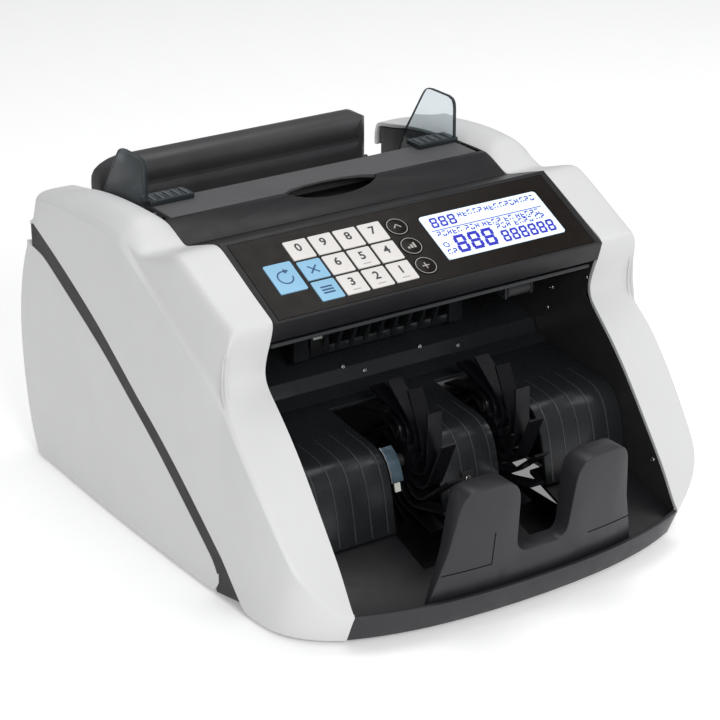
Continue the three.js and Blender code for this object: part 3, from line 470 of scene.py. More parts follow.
def crease_x(y, start):
    """Half width at the crease, which swings out from the front corner's last row."""
    if y > REAR_ROUND_FROM:
        return CREASE_X - REAR_TURN_IN * smoothstep((y - REAR_ROUND_FROM) / REAR_TURN_LENGTH)
    swung = smoothstep((y - start[1]) / CREASE_SWING) ** 0.35
    waist = NECK_WAIST * smoothstep(1 - abs(y - NECK_Y) / NECK_REACH)
    return start[0] + (CREASE_X - start[0]) * swung - waist


def shell_rows():
    """Every row of the right shell, from the front corner to the rear one."""
    rows = front_rows()
    start = rows[-1]["crease"]
    for inner, crease, (foot_y, foot_z), shelf in SHELL_ROWS:
        foot_z += BAND_GAP * smoothstep(foot_z / BAND_GAP_OPENS)
        rows.append({"inner": inner, "crease": (crease_x(crease[0], start), *crease),
                     "foot": (flank_x(foot_y), foot_y, foot_z), "shelf": shelf})
    return rows


# Section of the shelf beside the console: share of the way out to the crease, share of the way
# back up to the inner edge.
SHELF = [(0, 1), (0.1, 1), (0.36, 1), (0.6, 1), (0.71, 0.995), (0.78, 0.975), (0.83, 0.93), (0.865, 0.85),
         (0.885, 0.72), (0.897, 0.45), (0.907, 0.17), (0.925, 0.065)]
SIDE_STEPS = [0.0, 0.02, 0.06, 0.14, 0.3, 0.5, 0.7, 0.86, 0.96, 1.0]
SIDE_BULGE = 0.3          # how much the side swells under the crease
CORNER_FLAT = 0.45        # share of the top that stays flat where the rear corner turns down
SLOPE_POWER, CORNER_POWER = 1.4, 2.2    # how round a plain slope and the rear corner fall away


def shell_section(row):
    """Points of one row: across the top, round the crease and down the side."""
    cx, cy, cz = row["crease"]
    iy, iz = row["inner"]
    crown = table_value(CROWN, iy)
    turn = smoothstep((iy - REAR_ROUND_FROM) / TOP_TURN_LENGTH)
    points = []
    for s, shelf in SHELF:
        carried = (1 - s ** SLOPE_POWER) * (1 - row["shelf"]) + shelf * row["shelf"]
        if turn > 0:
            corner = max(0.0, (s - CORNER_FLAT) / (1 - CORNER_FLAT))
            carried = (1 - s) * (1 - turn) + (1 - corner ** CORNER_POWER) * turn
        y, z = cy + (iy - cy) * carried, cz + (iz - cz) * carried
        points.append((INNER + (cx - INNER) * s, y, z + crown * 4 * s * (1 - s)))
    for v in SIDE_STEPS:
        x, y, z = lerp((cx, cy, cz), row["foot"], v)
        points.append((x + SIDE_BULGE * math.sin(math.pi * min(v * 1.2, 1.0)) * (1 - v), y, z))
    edge = len(SHELF)       # the crease itself, which is softened by its neighbours
    before, crease, after = points[edge - 1], points[edge], points[edge + 2]
    points[edge] = tuple(0.25 * p + 0.5 * q + 0.25 * r for p, q, r in zip(before, crease, after))
    return points


def side_shells():
    """The two white shells, drawn for the right side."""
    sections = [shell_section(row) for row in shell_rows()]
    for side, mirror in (("right", False), ("left", True)):
        name = f"{side}_side_shell"
        mesh = grid_mesh(name + "_fine", sections, mirror)
        mesh = applied(mesh, subdivide(2), thicken(SHELL), bevel(RIM, 3, 80.0))
        shade(mesh, 50.0)
        add_piece(name + "_fine", mesh, WHITE, "machine", [name])


# The rear face as (height, y), a shallow bulge.
REAR_FACE = [(0, 190), (7, 194), (15, 197.5), (31, 201), (51, 203.7), (68, 205), (86, 204.8), (100, 203),
             (114.6, 199.5), (129.5, 195), (138, 190.5), (142, 188)]
REAR_TOP = REAR_FACE[-1][0]
REAR_CORNER = 5.0         # radius of the corner between the side and the back
REAR_CORNER_Y = 168
REAR_WALL = 2.6
REAR_HEIGHTS = [0, 0.03, 0.08, 0.16, 0.26, 0.38, 0.5, 0.62, 0.74, 0.84, 0.92, 0.97, 1.0]
REAR_SIDE_YS = [-40.5, -39, -36, -28, -12, 6, 26, 46, 66, 86, 106, 124, 140, 152, 160, 166]
REAR_TIP_Y, REAR_TIP_RISE = -36, 1.6    # in front of this the side's lower edge rises to a point
REAR_LEAST = 6            # least height of the side at that point
REAR_BACK_XS = [124, 100, 60, 20]
INLET_OPENING = ((77.5, 180, 21.5), (122.5, 220, 54.5))


def rear_side_row(y):
    """Points up the side of the rear housing, under the dark band."""
    low = max(0.0, (REAR_TIP_Y - y) * REAR_TIP_RISE)
    top = max(table_value(REAR_EDGE, y), low + REAR_LEAST)
    return [(flank_x(y), y, low + (top - low) * h) for h in REAR_HEIGHTS]


def rear_corner_row(angle, top):
    """Points up the rounded corner between the side and the back."""
    row = []
    for h in REAR_HEIGHTS:
        x = flank_x(REAR_CORNER_Y) - REAR_CORNER * (1 - math.cos(angle))
        y = table_value(REAR_FACE, top * h) - REAR_CORNER * (1 - math.sin(angle))
        row.append((x, y, top * h))
    return row


def rear_housing():
    """The white back of the casing, with the opening of the mains inlet."""
    rows = [rear_side_row(y) for y in REAR_SIDE_YS]
    corner_tops = [table_value(REAR_EDGE, 172), 146, 146, 145.6, 145, 144.2, 143.4, 142.6, REAR_TOP]
    for i, top in enumerate(corner_tops):
        rows.append(rear_corner_row(math.pi / 2 * i / (len(corner_tops) - 1), top))
    for x in REAR_BACK_XS:
        rows.append([(x, table_value(REAR_FACE, REAR_TOP * h), REAR_TOP * h) for h in REAR_HEIGHTS])
    rows += [[(-x, y, z) for x, y, z in row] for row in rows[::-1]]
    mesh = grid_mesh("rear_housing_fine", [row[::-1] for row in rows])
    mesh = applied(mesh, subdivide(2), thicken(REAR_WALL), bevel(RIM, 3, 60.0))
    mesh = carved(mesh, box_mesh(*INLET_OPENING))
    shade(mesh, 45.0)
    add_piece("rear_housing_fine", mesh, WHITE, "machine", ["rear_housing"])


STRIP_TUCK = 4.0          # the dark band runs this far under its neighbours
STRIP_RECESS = 0.35
STRIP_STEPS = 36
STRIP_LOW_RUN, STRIP_TOP_RUN = (-38, 178), (-66, 178)     # where its two edges start and end
STRIP_LOWEST, STRIP_HIGHEST = 0.4, 158.5
STRIP_ACROSS = [0, 0.12, 0.3, 0.5, 0.7, 0.88, 1]


def strip_row(t):
    """Points across the dark band, a share of the way along it."""
    low_y = STRIP_LOW_RUN[0] + (STRIP_LOW_RUN[1] - STRIP_LOW_RUN[0]) * t
    top_y = STRIP_TOP_RUN[0] + (STRIP_TOP_RUN[1] - STRIP_TOP_RUN[0]) * t
    low_z = table_value(REAR_EDGE, low_y) if low_y > REAR_EDGE[1][0] else 0.0
    low = (low_y, max(low_z - STRIP_TUCK, STRIP_LOWEST))
    high = (top_y, min(table_value(STRIP_TOP, top_y) + STRIP_TUCK, STRIP_HIGHEST))
    row = []
    for v in STRIP_ACROSS:
        y, z = lerp(low, high, v)
        row.append((flank_x(y) - STRIP_RECESS, y, z))
    return row[::-1]


def trim_strips():
    """Recessed dark band between the side shell and the rear housing."""
    rows = [strip_row(i / STRIP_STEPS) for i in range(STRIP_STEPS + 1)]
    for side, mirror in (("right", False), ("left", True)):
        name = f"{side}_trim_strip"
        mesh = grid_mesh(name + "_fine", rows, mirror)
        mesh = applied(mesh, subdivide(1), thicken(SHELL))
        shade(mesh, 45.0)
        add_piece(name + "_fine", mesh, TRIM, "machine", [name])


# ---------------------------------------------------------------- console


def on_console(x, s, lift=0.0):
    """A point on the console face: across, up the slope, and off the surface."""
    y0, z0 = CONSOLE_NOSE
    sin, cos = math.sin(CONSOLE_SLOPE), math.cos(CONSOLE_SLOPE)
    return at(x, y0 + s * cos - lift * sin, z0 + s * sin + lift * cos)


def outline_piece(name, outlines, thickness, finish, body, lift, stands_for=(), edge=0.0):
    """Flat printed or moulded shapes on the console face, each an (x, s) outline."""
    points, faces = [], []
    for outline in outlines:
        start = len(points)
        count = len(outline)
        for height in (lift - thickness, lift):
            points += [on_console(x, s, height) for x, s in outline]
        faces.append([start + i for i in range(count)][::-1])
        faces.append([start + count + i for i in range(count)])
        for i in range(count):
            j = (i + 1) % count
            faces.append([start + i, start + j, start + count + j, start + count + i])
    mesh = mesh_of(name, points, faces)
    if edge:
        mesh = applied(mesh, bevel(edge, 3, 50.0))
    shade(mesh, 35.0)
    return add_piece(name, mesh, finish, body, stands_for)


def rounded_rect(x, s, width, height, radius, steps=5):
    """Outline of a rectangle round a centre, with rounded corners."""
    corners = [(1, 1, 0), (-1, 1, 90), (-1, -1, 180), (1, -1, 270)]
    points = []
    for sx, sy, start in corners:
        cx, cy = x + sx * (width / 2 - radius), s + sy * (height / 2 - radius)
        for i in range(steps + 1):
            angle = math.radians(start + 90 * i / steps)
            points.append((cx + radius * math.cos(angle), cy + radius * math.sin(angle)))
    return points


def disc(x, s, radius, sides=48):
    """Outline of a circle."""
    return [(x + radius * math.cos(2 * math.pi * i / sides), s + radius * math.sin(2 * math.pi * i / sides))
            for i in range(sides)]


def stroke(points, width):
    """Quads that follow a line of points with a given width."""
    quads = []
    for (x0, y0), (x1, y1) in zip(points, points[1:]):
        length = math.hypot(x1 - x0, y1 - y0)
        nx, ny = -(y1 - y0) / length * width / 2, (x1 - x0) / length * width / 2
        quads.append([(x0 - nx, y0 - ny), (x1 - nx, y1 - ny), (x1 + nx, y1 + ny), (x0 + nx, y0 + ny)])
    return quads


def ring(x, s, radius, width, start=0.0, sweep=360.0, steps=40):
    """Quads along an arc, with angles in degrees."""
    points = []
    for i in range(steps + 1):
        angle = math.radians(start + sweep * i / steps)
        points.append((x + radius * math.cos(angle), s + radius * math.sin(angle)))
    return stroke(points, width)


def rect(x0, x1, s0, s1):
    """Outline of a rectangle between its sides."""
    return [(x0, s0), (x1, s0), (x1, s1), (x0, s1)]


# The keys by row, from the lowest. (x, s) places are across the console and up its slope.
KEY_ROWS = [["batch", "3", "2", "1"], ["clear", "6", "5", "4"], ["0", "9", "8", "7"]]
KEY_LEFT, KEY_LOW, KEY_PITCH_X, KEY_PITCH_S = -71.2, 15.0, 16.8, 16.45
KEY_SIZE = (15.2, 14.9)
KEY_TOP, KEY_THICK = 0.35, 2.3      # how far the caps stand up, and how thick they are
KEY_PRINT = KEY_TOP + LIFT
UNDERLINED = "1235"                 # digits with a short bar printed under them
RESTART = {"x": -90.5, "s": 30.2, "size": (18.0, 22.4)}
ROUND_KEYS = ["add", "mode", "report"]
ROUND_X, ROUND_R = -4.4, 7.0
LCD = (12.2, 97.9, 15.0, 51.2)      # the display's left, right, low and high sides
LCD_SUNK, LCD_DEEP = 0.1, 3.8


def digit(name, text, x, s, size, finish, body, lift, weight=0.16):
    """A numeral standing a hair off the console face."""
    curve = bpy.data.curves.new(name, "FONT")
    curve.body = text
    curve.size = size * MM
    curve.align_x = "CENTER"
    curve.align_y = "CENTER"
    curve.extrude = LIFT / 2 * MM
    curve.resolution_u = 6
    curve.offset = weight * MM
    holder = bpy.data.objects.new(name + "_text", curve)
    bpy.context.scene.collection.objects.link(holder)
    graph = bpy.context.evaluated_depsgraph_get()
    graph.update()
    mesh = bpy.data.meshes.new_from_object(holder.evaluated_get(graph))
    bpy.data.objects.remove(holder)
    mesh.transform(Matrix.Translation(on_console(x, s, lift)) @ Matrix.Rotation(CONSOLE_SLOPE, 4, "X"))
    add_piece(name, mesh, finish, body)


def key_mark(name, label, marks, ink):
    """Marks printed on one key."""
    outline_piece(name, marks, PRINT, ink, f"{label}_key", KEY_PRINT)


def key_caps():
    """Square keys with their digits, and the large restart key."""
    for r, row in enumerate(KEY_ROWS):
        for c, label in enumerate(row):
            x, s = KEY_LEFT + c * KEY_PITCH_X, KEY_LOW + r * KEY_PITCH_S
            blue = c == 0 and r < 2
            outline_piece(f"key_{label}_cap", [rounded_rect(x, s, *KEY_SIZE, 0.8)], KEY_THICK,
                          BLUE_KEY if blue else KEY, f"{label}_key", KEY_TOP, [f"key_{label}"], 0.25)
            if label.isdigit():
                digit(f"digit_{label}", label, x, s + 1.2, 8.2, INK, f"{label}_key", KEY_PRINT)
            if label in UNDERLINED:
                key_mark(f"key_{label}_mark", label, [rect(x - 2.6, x + 2.6, s - 5.1, s - 4.4)], PALE_INK)
    x, s = RESTART["x"], RESTART["s"]
    outline_piece("key_restart_cap", [rounded_rect(x, s, *RESTART["size"], 1.0)], KEY_THICK, BLUE_KEY,
                  "restart_key", KEY_TOP, ["key_restart"], 0.25)
    key_icons()


def key_icons():
    """Plain signs on the blue keys: a turning arrow, a stack and a cross."""
    x, s = RESTART["x"], RESTART["s"]
    head = [(x + 1.2, s + 2.6), (x + 4.4, s + 4.6), (x + 1.0, s + 6.4)]
    key_mark("restart_icon", "restart", ring(x, s, 4.6, 0.9, 70, 290) + [head], BLUE_INK)
    x, s = KEY_LEFT, KEY_LOW
    stack = [rect(x - 3.8, x + 3.8, s + k * 2.2 - 0.6, s + k * 2.2 + 0.6) for k in (-1, 0, 1)]
    key_mark("batch_icon", "batch", stack, BLUE_INK)
    s += KEY_PITCH_S
    arm = 2.8
    cross = stroke([(x - arm, s - arm), (x + arm, s + arm)], 1.0)
    cross += stroke([(x - arm, s + arm), (x + arm, s - arm)], 1.0)
    key_mark("clear_icon", "clear", cross, BLUE_INK)


def round_keys():
    """Three round keys with printed rings and plain signs."""
    for i, label in enumerate(ROUND_KEYS):
        x, s = ROUND_X, KEY_LOW + i * KEY_PITCH_S
        outline_piece(f"key_{label}_cap", [disc(x, s, ROUND_R)], KEY_THICK, PANEL, f"{label}_key", KEY_TOP,
                      [f"key_{label}"], 0.3)
        marks = ring(x, s, ROUND_R - 0.75, 0.38)
        if label == "add":
            marks += stroke([(x - 2.4, s), (x + 2.4, s)], 0.7)
            marks += stroke([(x, s - 2.4), (x, s - 0.35)], 0.7) + stroke([(x, s + 0.35), (x, s + 2.4)], 0.7)
        elif label == "mode":
            for k in range(3):
                marks.append(rect(x - 2.8 + k * 2.1, x - 1.4 + k * 2.1, s - 1.8, s - 0.2 + k * 1.2))
        else:
            marks += stroke([(x - 2.4, s - 1), (x, s + 1.8), (x + 2.4, s - 1)], 0.7)
        key_mark(f"key_{label}_print", label, marks, PALE_INK)


LEAN = 0.14          # the numerals lean this much for each unit of height


def seven_segment(x, s, width, height, bar):
    """All seven bars of one numeral, leaning a little."""
    gap = bar * 0.07
    cells = []

    def skew(outline):
        return [(px + (py - s) * LEAN, py) for px, py in outline]

    for level in (0, 0.5, 1):
        y = s + height * level
        shift = bar / 2 if level == 0 else (-bar / 2 if level == 1 else 0)
        cells.append(skew(rect(x + bar * 0.3, x + width - bar * 0.3,
                               y + shift - bar / 2, y + shift + bar / 2)))
    for side in (0, 1):
        for half in (0, 1):
            x0 = x + side * (width - bar)
            y0 = s + half * height / 2 + bar * (0.75 - half * 0.25) + gap
            cells.append(skew(rect(x0, x0 + bar, y0, y0 + height / 2 - bar * 1.25 - 2 * gap)))
    return cells


# Which bars of a numeral make up each small mark.
GLYPH_BARS = ((0, 2, 3, 5), (1, 3, 4, 5, 6), (0, 1, 3, 4), (2, 3, 4, 5), (1, 2, 3, 6))


def small_words(x, s, count):
    """A group of small marks on the display, each a few bars of a numeral."""
    marks = []
    for k in range(count):
        bars = seven_segment(x + k * 3.6, s, 2.8, 4.4, 0.8)
        marks += [bars[i] for i in GLYPH_BARS[(k + int(x + s)) % len(GLYPH_BARS)]]
    return marks


# Groups of small marks in the display's three rows: place from its left side, number of marks.
TOP_WORDS = [(25.4, 3), (37.0, 2), (45.0, 3), (56.6, 4), (71.6, 3)]
MIDDLE_WORDS = [(4.0, 5), (24.0, 3), (36.4, 4), (52.4, 2), (61.0, 5)]
LOW_WORDS = [(44.0, 3), (57.0, 4), (73.0, 2)]


def display():
    """The lit window with its numerals and rows of small marks that say nothing."""
    x0, x1, s0, s1 = LCD
    screen = rounded_rect((x0 + x1) / 2, (s0 + s1) / 2, x1 - x0 - 0.2, s1 - s0 - 0.2, 2.2)
    outline_piece("display_window", [screen], LCD_DEEP, SCREEN, "machine", -LCD_SUNK, ["lcd_display"], 0.15)
    marks = []
    for k in range(3):
        marks += seven_segment(x0 + 4.6 + k * 6.4, s1 - 10.8, 5.2, 8.0, 1.35)
        marks += seven_segment(x0 + 10.2 + k * 9.9, s0 + 3.0, 8.4, 13.8, 2.3)
    for k in range(6):
        marks += seven_segment(x0 + 42.6 + k * 6.6, s0 + 3.0, 5.5, 9.2, 1.5)
    marks.append(rect(x0 + 2.6, x1 - 3.2, s1 - 13.1, s1 - 12.5))
    for words, row in ((TOP_WORDS, s1 - 7.0), (MIDDLE_WORDS, s1 - 18.2), (LOW_WORDS, s0 + 13.6)):
        for left, count in words:
            marks += small_words(x0 + left, row, count)
    marks += ring(x0 + 5.2, s0 + 11.4, 1.7, 0.7) + small_words(x0 + 2.6, s0 + 3.2, 2)
    outline_piece("display_segments", marks, 0.04, SEGMENT, "machine", LIFT - LCD_SUNK)


def console():
    """The console housing with its film, boards, keys and display."""
    refine("console_housing", BLACK, 0.9, 3)
    keep("panel_overlay", PANEL)
    keep("key_board", BOARD)
    key_caps()
    round_keys()
    display()


# ---------------------------------------------------------------- bands, screws and engraved lines

# Front and top of the pocket's drum-shaped back plate, as (y, z).
DRUM = [(-84.2, 33), (-82.3, 43), (-80.6, 52), (-78.5, 60), (-76.4, 66), (-73.6, 71), (-70, 74.6),
        (-65.5, 77), (-60, 78.3), (-54, 78.9), (-40, 79.8), (-20, 82.2)]


def path_normal(path, i):
    """Unit normal on the left-hand side of a path in (y, z)."""
    (y0, z0), (y1, z1) = path[max(i - 1, 0)], path[min(i + 1, len(path) - 1)]
    length = math.hypot(y1 - y0, z1 - z0)
    return -(z1 - z0) / length, (y1 - y0) / length


def bands(name, path, spans, low, high, finish, body="machine"):
    """Bands that follow a path in (y, z) over spans of X, between two heights off it."""
    points, faces = [], []
    for x0, x1 in spans:
        first = len(points)
        for i, (y, z) in enumerate(path):
            ny, nz = path_normal(path, i)
            for x, off in ((x0, low), (x1, low), (x1, high), (x0, high)):
                points.append(at(x, y + ny * off, z + nz * off))
        for i in range(len(path) - 1):
            ring_start = first + 4 * i
            for k in range(4):
                j = (k + 1) % 4
                faces.append((ring_start + k, ring_start + j, ring_start + 4 + j, ring_start + 4 + k))
        end = first + 4 * (len(path) - 1)
        faces += [(first + 3, first + 2, first + 1, first), (end, end + 1, end + 2, end + 3)]
    mesh = mesh_of(name, points, faces)
    shade(mesh, 35.0)
    return add_piece(name, mesh, finish, body)


def mirrored_spans(spans):
    """Spans of X with their mirror images."""
    return spans + [(-x1, -x0) for x0, x1 in spans]


def block_piece(name, low, high, finish, body="machine", edge=0.2):
    """A box between two drawing corners, with rounded edges."""
    mesh = applied(box_mesh(low, high), bevel(edge, 2))
    shade(mesh, 40.0)
    return add_piece(name, mesh, finish, body)


def screw_mesh(radius):
    """Pan head with a cross recess, standing along +Z on the origin."""
    shape = bmesh.new()
    bmesh.ops.create_cone(shape, cap_ends=True, segments=32, radius1=radius * MM, radius2=radius * 0.86 * MM,
                          depth=radius * 0.55 * MM)
    head = applied(from_bmesh("screw_head", shape), bevel(radius * 0.16, 3))
    for width, length in ((0.3, 1.25), (1.25, 0.3)):
        slot = bmesh.new()
        bmesh.ops.create_cube(slot, size=radius * MM)
        for vertex in slot.verts:
            across, along, up = vertex.co
            vertex.co = Vector((across * width, along * length, up * 0.6 + radius * 0.4 * MM))
        head = carved(head, from_bmesh("screw_slot", slot))
    shade(head, 35.0)
    return head


def screws(name, places, normal, radius):
    """Screw heads of one size on faces that look the same way."""
    turn = Vector((0, 0, 1)).rotation_difference(Vector(normal)).to_matrix().to_4x4()
    for i, place in enumerate(places):
        mesh = screw_mesh(radius)
        mesh.transform(Matrix.Translation(at(*place)) @ turn @ Matrix.Rotation(0.5 + i, 4, "Z"))
        add_piece(f"{name}_{i + 1}", mesh, SCREW)


RIB_WIDTH = 0.7
MIDDLE_RIBS = [(-16.3, -15.6), (-5.6, -4.9), (4.9, 5.6), (15.6, 16.3)]
OUTER_RIBS = (59, 70, 81, 92, 103)      # the inner sides of the ribs beyond the stacker wheels
WALL_SCREWS = [(-7, 119.5), (-3, 104.7), (-39.6, 136.6), (-108.4, 41.9)]      # (y, z)
GUIDE_SCREWS = [(-28, 10.0, 94.4), (28, 10.0, 94.4), (-14, 7.5, 89.6), (55, 7.5, 89.6)]


def stacker_details():
    """Ribs of the drum, its screw, the sensor windows and the small screws of the pocket."""
    ribs = MIDDLE_RIBS + mirrored_spans([(x, x + RIB_WIDTH) for x in OUTER_RIBS])
    # the ribs' lighter colour is a painted highlight along them
    bands("drum_ribs", DRUM[:-1], ribs, -0.4, 0.3, PAINTED_RIB_HIGHLIGHT)
    bands("sensor_windows", DRUM[3:8], [(-52.7, -45.0)], -1.4, -0.1, MIRROR)
    bands("sensor_window_edge", DRUM[3:8], [(-53.4, -52.8)], -1.6, 0.35, STEEL)
    bands("sensor_mark", [(-79.6, 54.6), (-78.3, 59.6)], [(-51.6, -47.8)], -0.4, 0.45, PALE)
    block_piece("drum_screw_seat", (-6.6, -82.2, 46.2), (2.6, -80.1, 55.4), RUBBER, edge=0.3)
    screws("drum_screw", [(-2, -82.1, 50.8)], (0, -0.98, 0.19), 2.2)
    screws("guide_screw", GUIDE_SCREWS, (0, -0.894, 0.447), 1.5)
    for side, sign in (("right", 1), ("left", -1)):
        places = [(sign * (INNER + 0.2), y, z) for y, z in WALL_SCREWS]
        screws(f"{side}_wall_screw", places, (-sign, 0, 0), 1.9)


CASE_SCREW_X, CASE_SCREW_HEIGHTS = 100, (22, 120)
PLATE_HEIGHTS = (40, 34, 28, 22, 16)


def rear_details():
    """Case screws and a blank rating plate on the back."""
    places = [(x, table_value(REAR_FACE, z) + 0.3, z)
              for x in (-CASE_SCREW_X, CASE_SCREW_X) for z in CASE_SCREW_HEIGHTS]
    screws("case_screw", places, (0, 1, 0), 3.4)
    path = [(table_value(REAR_FACE, z), z) for z in PLATE_HEIGHTS]
    bands("rating_plate", path, [(-62, -18)], -0.3, 0.25, LABEL)


def comb_sensor():
    """Small sensor board on the comb's cross bar, with its pale emitter."""
    block_piece("sensor_board", (-49, 12.6, 105), (-36, 14.4, 119), BLACK)
    block_piece("sensor_emitter", (-47.5, 12.1, 115.2), (-39.5, 12.8, 116.8), PALE)


BASE_FRONT = -143.5       # the base's front edge at its middle
FLOOR_TOP = 14
STOP_SETBACK = 3.4        # the stop plate's foot stands this far behind the base's front face
STOP_LEAN = 0.145         # and it leans forward this much for each unit of height


def stop_face_y(x, z):
    """Front face of the stop plate, bowed like the base's front edge."""
    bowed = BASE_FRONT + 9e-4 * x ** 2 + 3.77e-8 * x ** 4
    return bowed - FRONT_DRAFT * FLOOR_TOP + STOP_SETBACK - STOP_LEAN * (z - FLOOR_TOP)


def engraved_line(points, width=0.9, depth=0.7):
    """Tool that follows a line of (x, z) points on the stop plate's face."""
    verts, faces = [], []
    for (x0, z0), (x1, z1) in zip(points, points[1:]):
        length = math.hypot(x1 - x0, z1 - z0)
        side = (-(z1 - z0) / length * width / 2, (x1 - x0) / length * width / 2)
        first = len(verts)
        for x, z in ((x0, z0), (x1, z1)):
            for sx, sz in (side, (-side[0], -side[1])):
                face = stop_face_y(x + sx, z + sz)
                verts += [at(x + sx, face - 1.5, z + sz), at(x + sx, face + depth, z + sz)]
        a = [first + k for k in range(8)]
        faces += [(a[0], a[1], a[3], a[2]), (a[4], a[6], a[7], a[5]), (a[0], a[4], a[5], a[1]),
                  (a[2], a[3], a[7], a[6]), (a[0], a[2], a[6], a[4]), (a[1], a[5], a[7], a[3])]
    mesh = mesh_of("engraving", verts, faces)
    shape = bmesh.new()
    shape.from_mesh(mesh)
    bmesh.ops.recalc_face_normals(shape, faces=shape.faces)
    return from_bmesh("engraving", shape)


def split_line(a, b, parts):
    """Points that share a line out evenly, so that it can follow a bowed face."""
    return [lerp(a, b, i / parts) for i in range(parts + 1)]


# Ends of the stop plate's engraved lines, as (x, z), and the parts each is split into.
ENGRAVED = [((-66, 34), (-34, 34), 5), ((-34, 33.6), (-34, 55), 3), ((34, 34), (67, 34), 5)]


def stop_plate():
    """The notched plate in front of the stacker wheels, with its engraved lines."""
    mesh = applied(copy_of_node("stop_plate"), bevel(0.7, 3, 30.0))
    for a, b, parts in ENGRAVED:
        mesh = carved(mesh, engraved_line(split_line(a, b, parts)))
    shade(mesh, 38.0)
    add_piece("stop_plate_fine", mesh, STOP, "machine", ["stop_plate"])


DISH_CENTRE, DISH_RADII = (0, 62, 194.5), (57.5, 39.4, 8)


def hopper_lid():
    """Lid with a shallow dish moulded down towards its finger notch."""
    shape = bmesh.new()
    bmesh.ops.create_uvsphere(shape, u_segments=64, v_segments=48, radius=1.0)
    for vertex in shape.verts:
        vertex.co = at(*[c + r * v for c, r, v in zip(DISH_CENTRE, DISH_RADII, vertex.co)])
    mesh = applied(copy_of_node("hopper_lid"), bevel(0.5, 3))
    mesh = carved(mesh, from_bmesh("dish", shape))
    shade(mesh, 30.0)
    add_piece("hopper_lid_fine", mesh, LID, "hopper", ["hopper_lid"])


# Rim of a note guide from its front foot over its top to its rear foot, as (y, z).
GUIDE_EDGE = [(92.3, 190), (92.3, 203), (92.3, 209.5), (92.9, 213), (94.6, 215.4), (99, 216.5), (108, 216.5),
              (117, 216.5), (122, 215.8), (124.6, 214), (127, 211), (136, 197.5), (145, 184), (150, 173),
              (153.6, 164.6)]
RIM_SIDES, TAB_SIDES = (110.5, 112.65), (81.4, 110.4)     # distances from the middle
TAB_RIBS, TAB_RIB_FIRST, TAB_RIB_PITCH = 5, 85, 5.6


def note_guides():
    """Clear side guides with dark edges and ribbed finger tabs."""
    for side, sign in (("right", 1), ("left", -1)):
        body = f"{side}_guide"
        refine(f"{side}_note_guide", CLEAR, 0.3, 2)
        near, far = sorted(sign * x for x in RIM_SIDES)
        bands(f"{side}_guide_edge", GUIDE_EDGE, [(near, far)], -0.5, -0.02, SMOKE, body)
        near, far = sorted(sign * x for x in TAB_SIDES)
        block_piece(f"{side}_guide_tab", (near, 88.4, 188.75), (far, 102.6, 191.65), SMOKE, body, 0.4)
        for k in range(TAB_RIBS):
            x = sign * (TAB_RIB_FIRST + k * TAB_RIB_PITCH)
            block_piece(f"{side}_tab_rib_{k + 1}", (x - 0.6, 89.6, 191.3), (x + 0.6, 101.4, 192.2),
                        CLEAR_RIB, body, 0.25)


# ---------------------------------------------------------------- everything else, from its CAD node

# Each node with its material, the radius of its edges and the segments round them.
REFINED = [
    ("base_tray", GREY, 0.5, 2), ("left_side_frame", COATED, 0.3, 1), ("right_side_frame", COATED, 0.3, 1),
    ("comb_guide", SATIN, 0.4, 2), ("hopper_frame", HOPPER, 0.6, 2),
    ("front_cover", BLACK, 0.6, 2), ("stacker_floor", BLACK, 0.4, 2), ("stacker_back_plate", SATIN, 0.5, 2),
    ("lower_guide", SATIN, 0.4, 2),
    ("left_stacker_wheel", VANE, 0.25, 1), ("right_stacker_wheel", VANE, 0.25, 1),
    ("feed_roller", RUBBER, 0.4, 2), ("drive_roller", RUBBER, 0.4, 2), ("stacker_shaft", COATED, 0.4, 2),
    ("drive_motor", STEEL, 0.8, 3), ("motor_shaft", STEEL, 0.3, 1), ("drive_pulley", BLACK, 0.3, 1),
    ("feed_pulley", BLACK, 0.3, 1), ("stacker_pulley", BLACK, 0.3, 1), ("main_board", BOARD, 0.2, 1),
    ("power_supply", STEEL, 0.8, 2), ("power_inlet", BLACK, 0.3, 2), ("power_switch", BLACK, 0.5, 3),
    ("gap_adjuster", TRIM, 0.3, 2), ("left_front_foot", RUBBER, 0.6, 3), ("right_front_foot", RUBBER, 0.6, 3),
    ("left_rear_foot", RUBBER, 0.6, 3), ("right_rear_foot", RUBBER, 0.6, 3), ("main_belt", RUBBER, 0.2, 1),
    ("feed_belt", RUBBER, 0.2, 1), ("stacker_belt", RUBBER, 0.2, 1),
]

# ---------------------------------------------------------------- stage


CAMERA_ANGLES = (-33.68, 23.36, -0.07)      # azimuth, elevation and roll in degrees
CAMERA_TARGET, CAMERA_DISTANCE = (0, 33.8, 83.5), 1416.9
CAMERA_LENS = 115.7


def camera():
    """A long lens that looks down on the machine from the front left."""
    azimuth, elevation, roll = (math.radians(a) for a in CAMERA_ANGLES)
    back = Vector((math.sin(azimuth) * math.cos(elevation), -math.cos(azimuth) * math.cos(elevation),
                   math.sin(elevation)))
    data = bpy.data.cameras.new("camera")
    data.lens = CAMERA_LENS
    data.sensor_width = 36.0
    data.clip_end = 20.0
    made = bpy.data.objects.new("camera", data)
    bpy.context.scene.collection.objects.link(made)
    made.location = at(*CAMERA_TARGET) + back * CAMERA_DISTANCE * MM
    made.rotation_mode = "QUATERNION"
    aim = (-back).to_track_quat("-Z", "Y").to_matrix().to_4x4()
    made.rotation_quaternion = (aim @ Matrix.Rotation(roll, 4, "Z")).to_quaternion()
    bpy.context.scene.camera = made


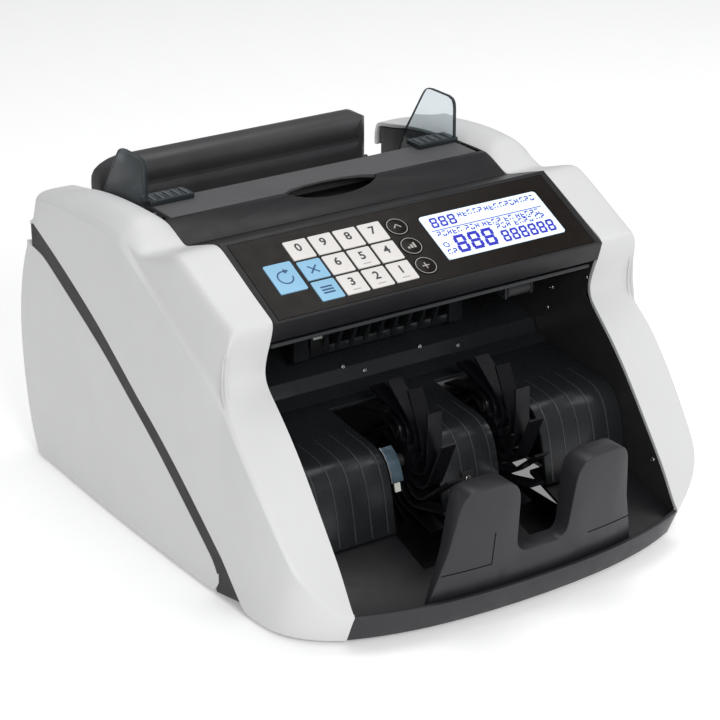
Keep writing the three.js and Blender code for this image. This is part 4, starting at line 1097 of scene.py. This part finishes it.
# Name, place, what it is aimed at, size and power of each light, in metres and watts.
LIGHTS = [
    ("top", (0.2, 0.3, 1.8), (0, 0, 0.1), (1.4, 1.2), 13),
    ("right", (1.5, -0.5, 1.2), (0, 0, 0.1), (0.9, 0.9), 6),
    ("front", (-0.45, -1.65, 1.1), (0, -0.1, 0.05), (0.7, 0.5), 16),
    ("left", (-1.7, 0.1, 0.7), (0, 0, 0.1), (0.7, 0.7), 1.2),
]
FLOOR_HALF = 4           # metres


def area_light(name, place, target, size, power):
    """A rectangular light aimed at a point."""
    data = bpy.data.lights.new(name, "AREA")
    data.shape = "RECTANGLE"
    data.size, data.size_y = size
    data.energy = power
    made = bpy.data.objects.new(name, data)
    bpy.context.scene.collection.objects.link(made)
    made.location = place
    made.rotation_euler = (Vector(target) - Vector(place)).to_track_quat("-Z", "Y").to_euler()


def studio():
    """White world, four soft lights and a paper floor that glows a little, so that it stays white."""
    world = bpy.data.worlds.new("studio")
    world.use_nodes = True
    world.node_tree.nodes["Background"].inputs["Color"].default_value = (0.97, 0.98, 1.0, 1.0)
    world.node_tree.nodes["Background"].inputs["Strength"].default_value = 0.33
    bpy.context.scene.world = world
    bpy.context.scene.view_settings.view_transform = "Standard"
    for light in LIGHTS:
        area_light(*light)
    corners = [(FLOOR_HALF * x, FLOOR_HALF * y, 0) for x, y in ((-1, -1), (1, -1), (1, 1), (-1, 1))]
    floor = bpy.data.objects.new("floor", mesh_of("floor", corners, [(0, 1, 2, 3)]))
    bpy.context.scene.collection.objects.link(floor)
    paper = material("floor_paper", "none", (0.93, 0.93, 0.93), 0.8, grain=300.0, depth=0.01, mottle=0.005,
                     specular=0.2)
    shader = paper.node_tree.nodes["Principled BSDF"]
    shader.inputs["Emission Color"].default_value = (1.0, 1.0, 1.0, 1.0)
    shader.inputs["Emission Strength"].default_value = 0.27
    floor.data.materials.append(paper)


camera()
side_shells()
rear_housing()
trim_strips()
console()
for node, finish, width, segments in REFINED:
    refine(node, finish, width, segments)
stop_plate()
hopper_lid()
note_guides()
stacker_details()
comb_sensor()
rear_details()
studio()
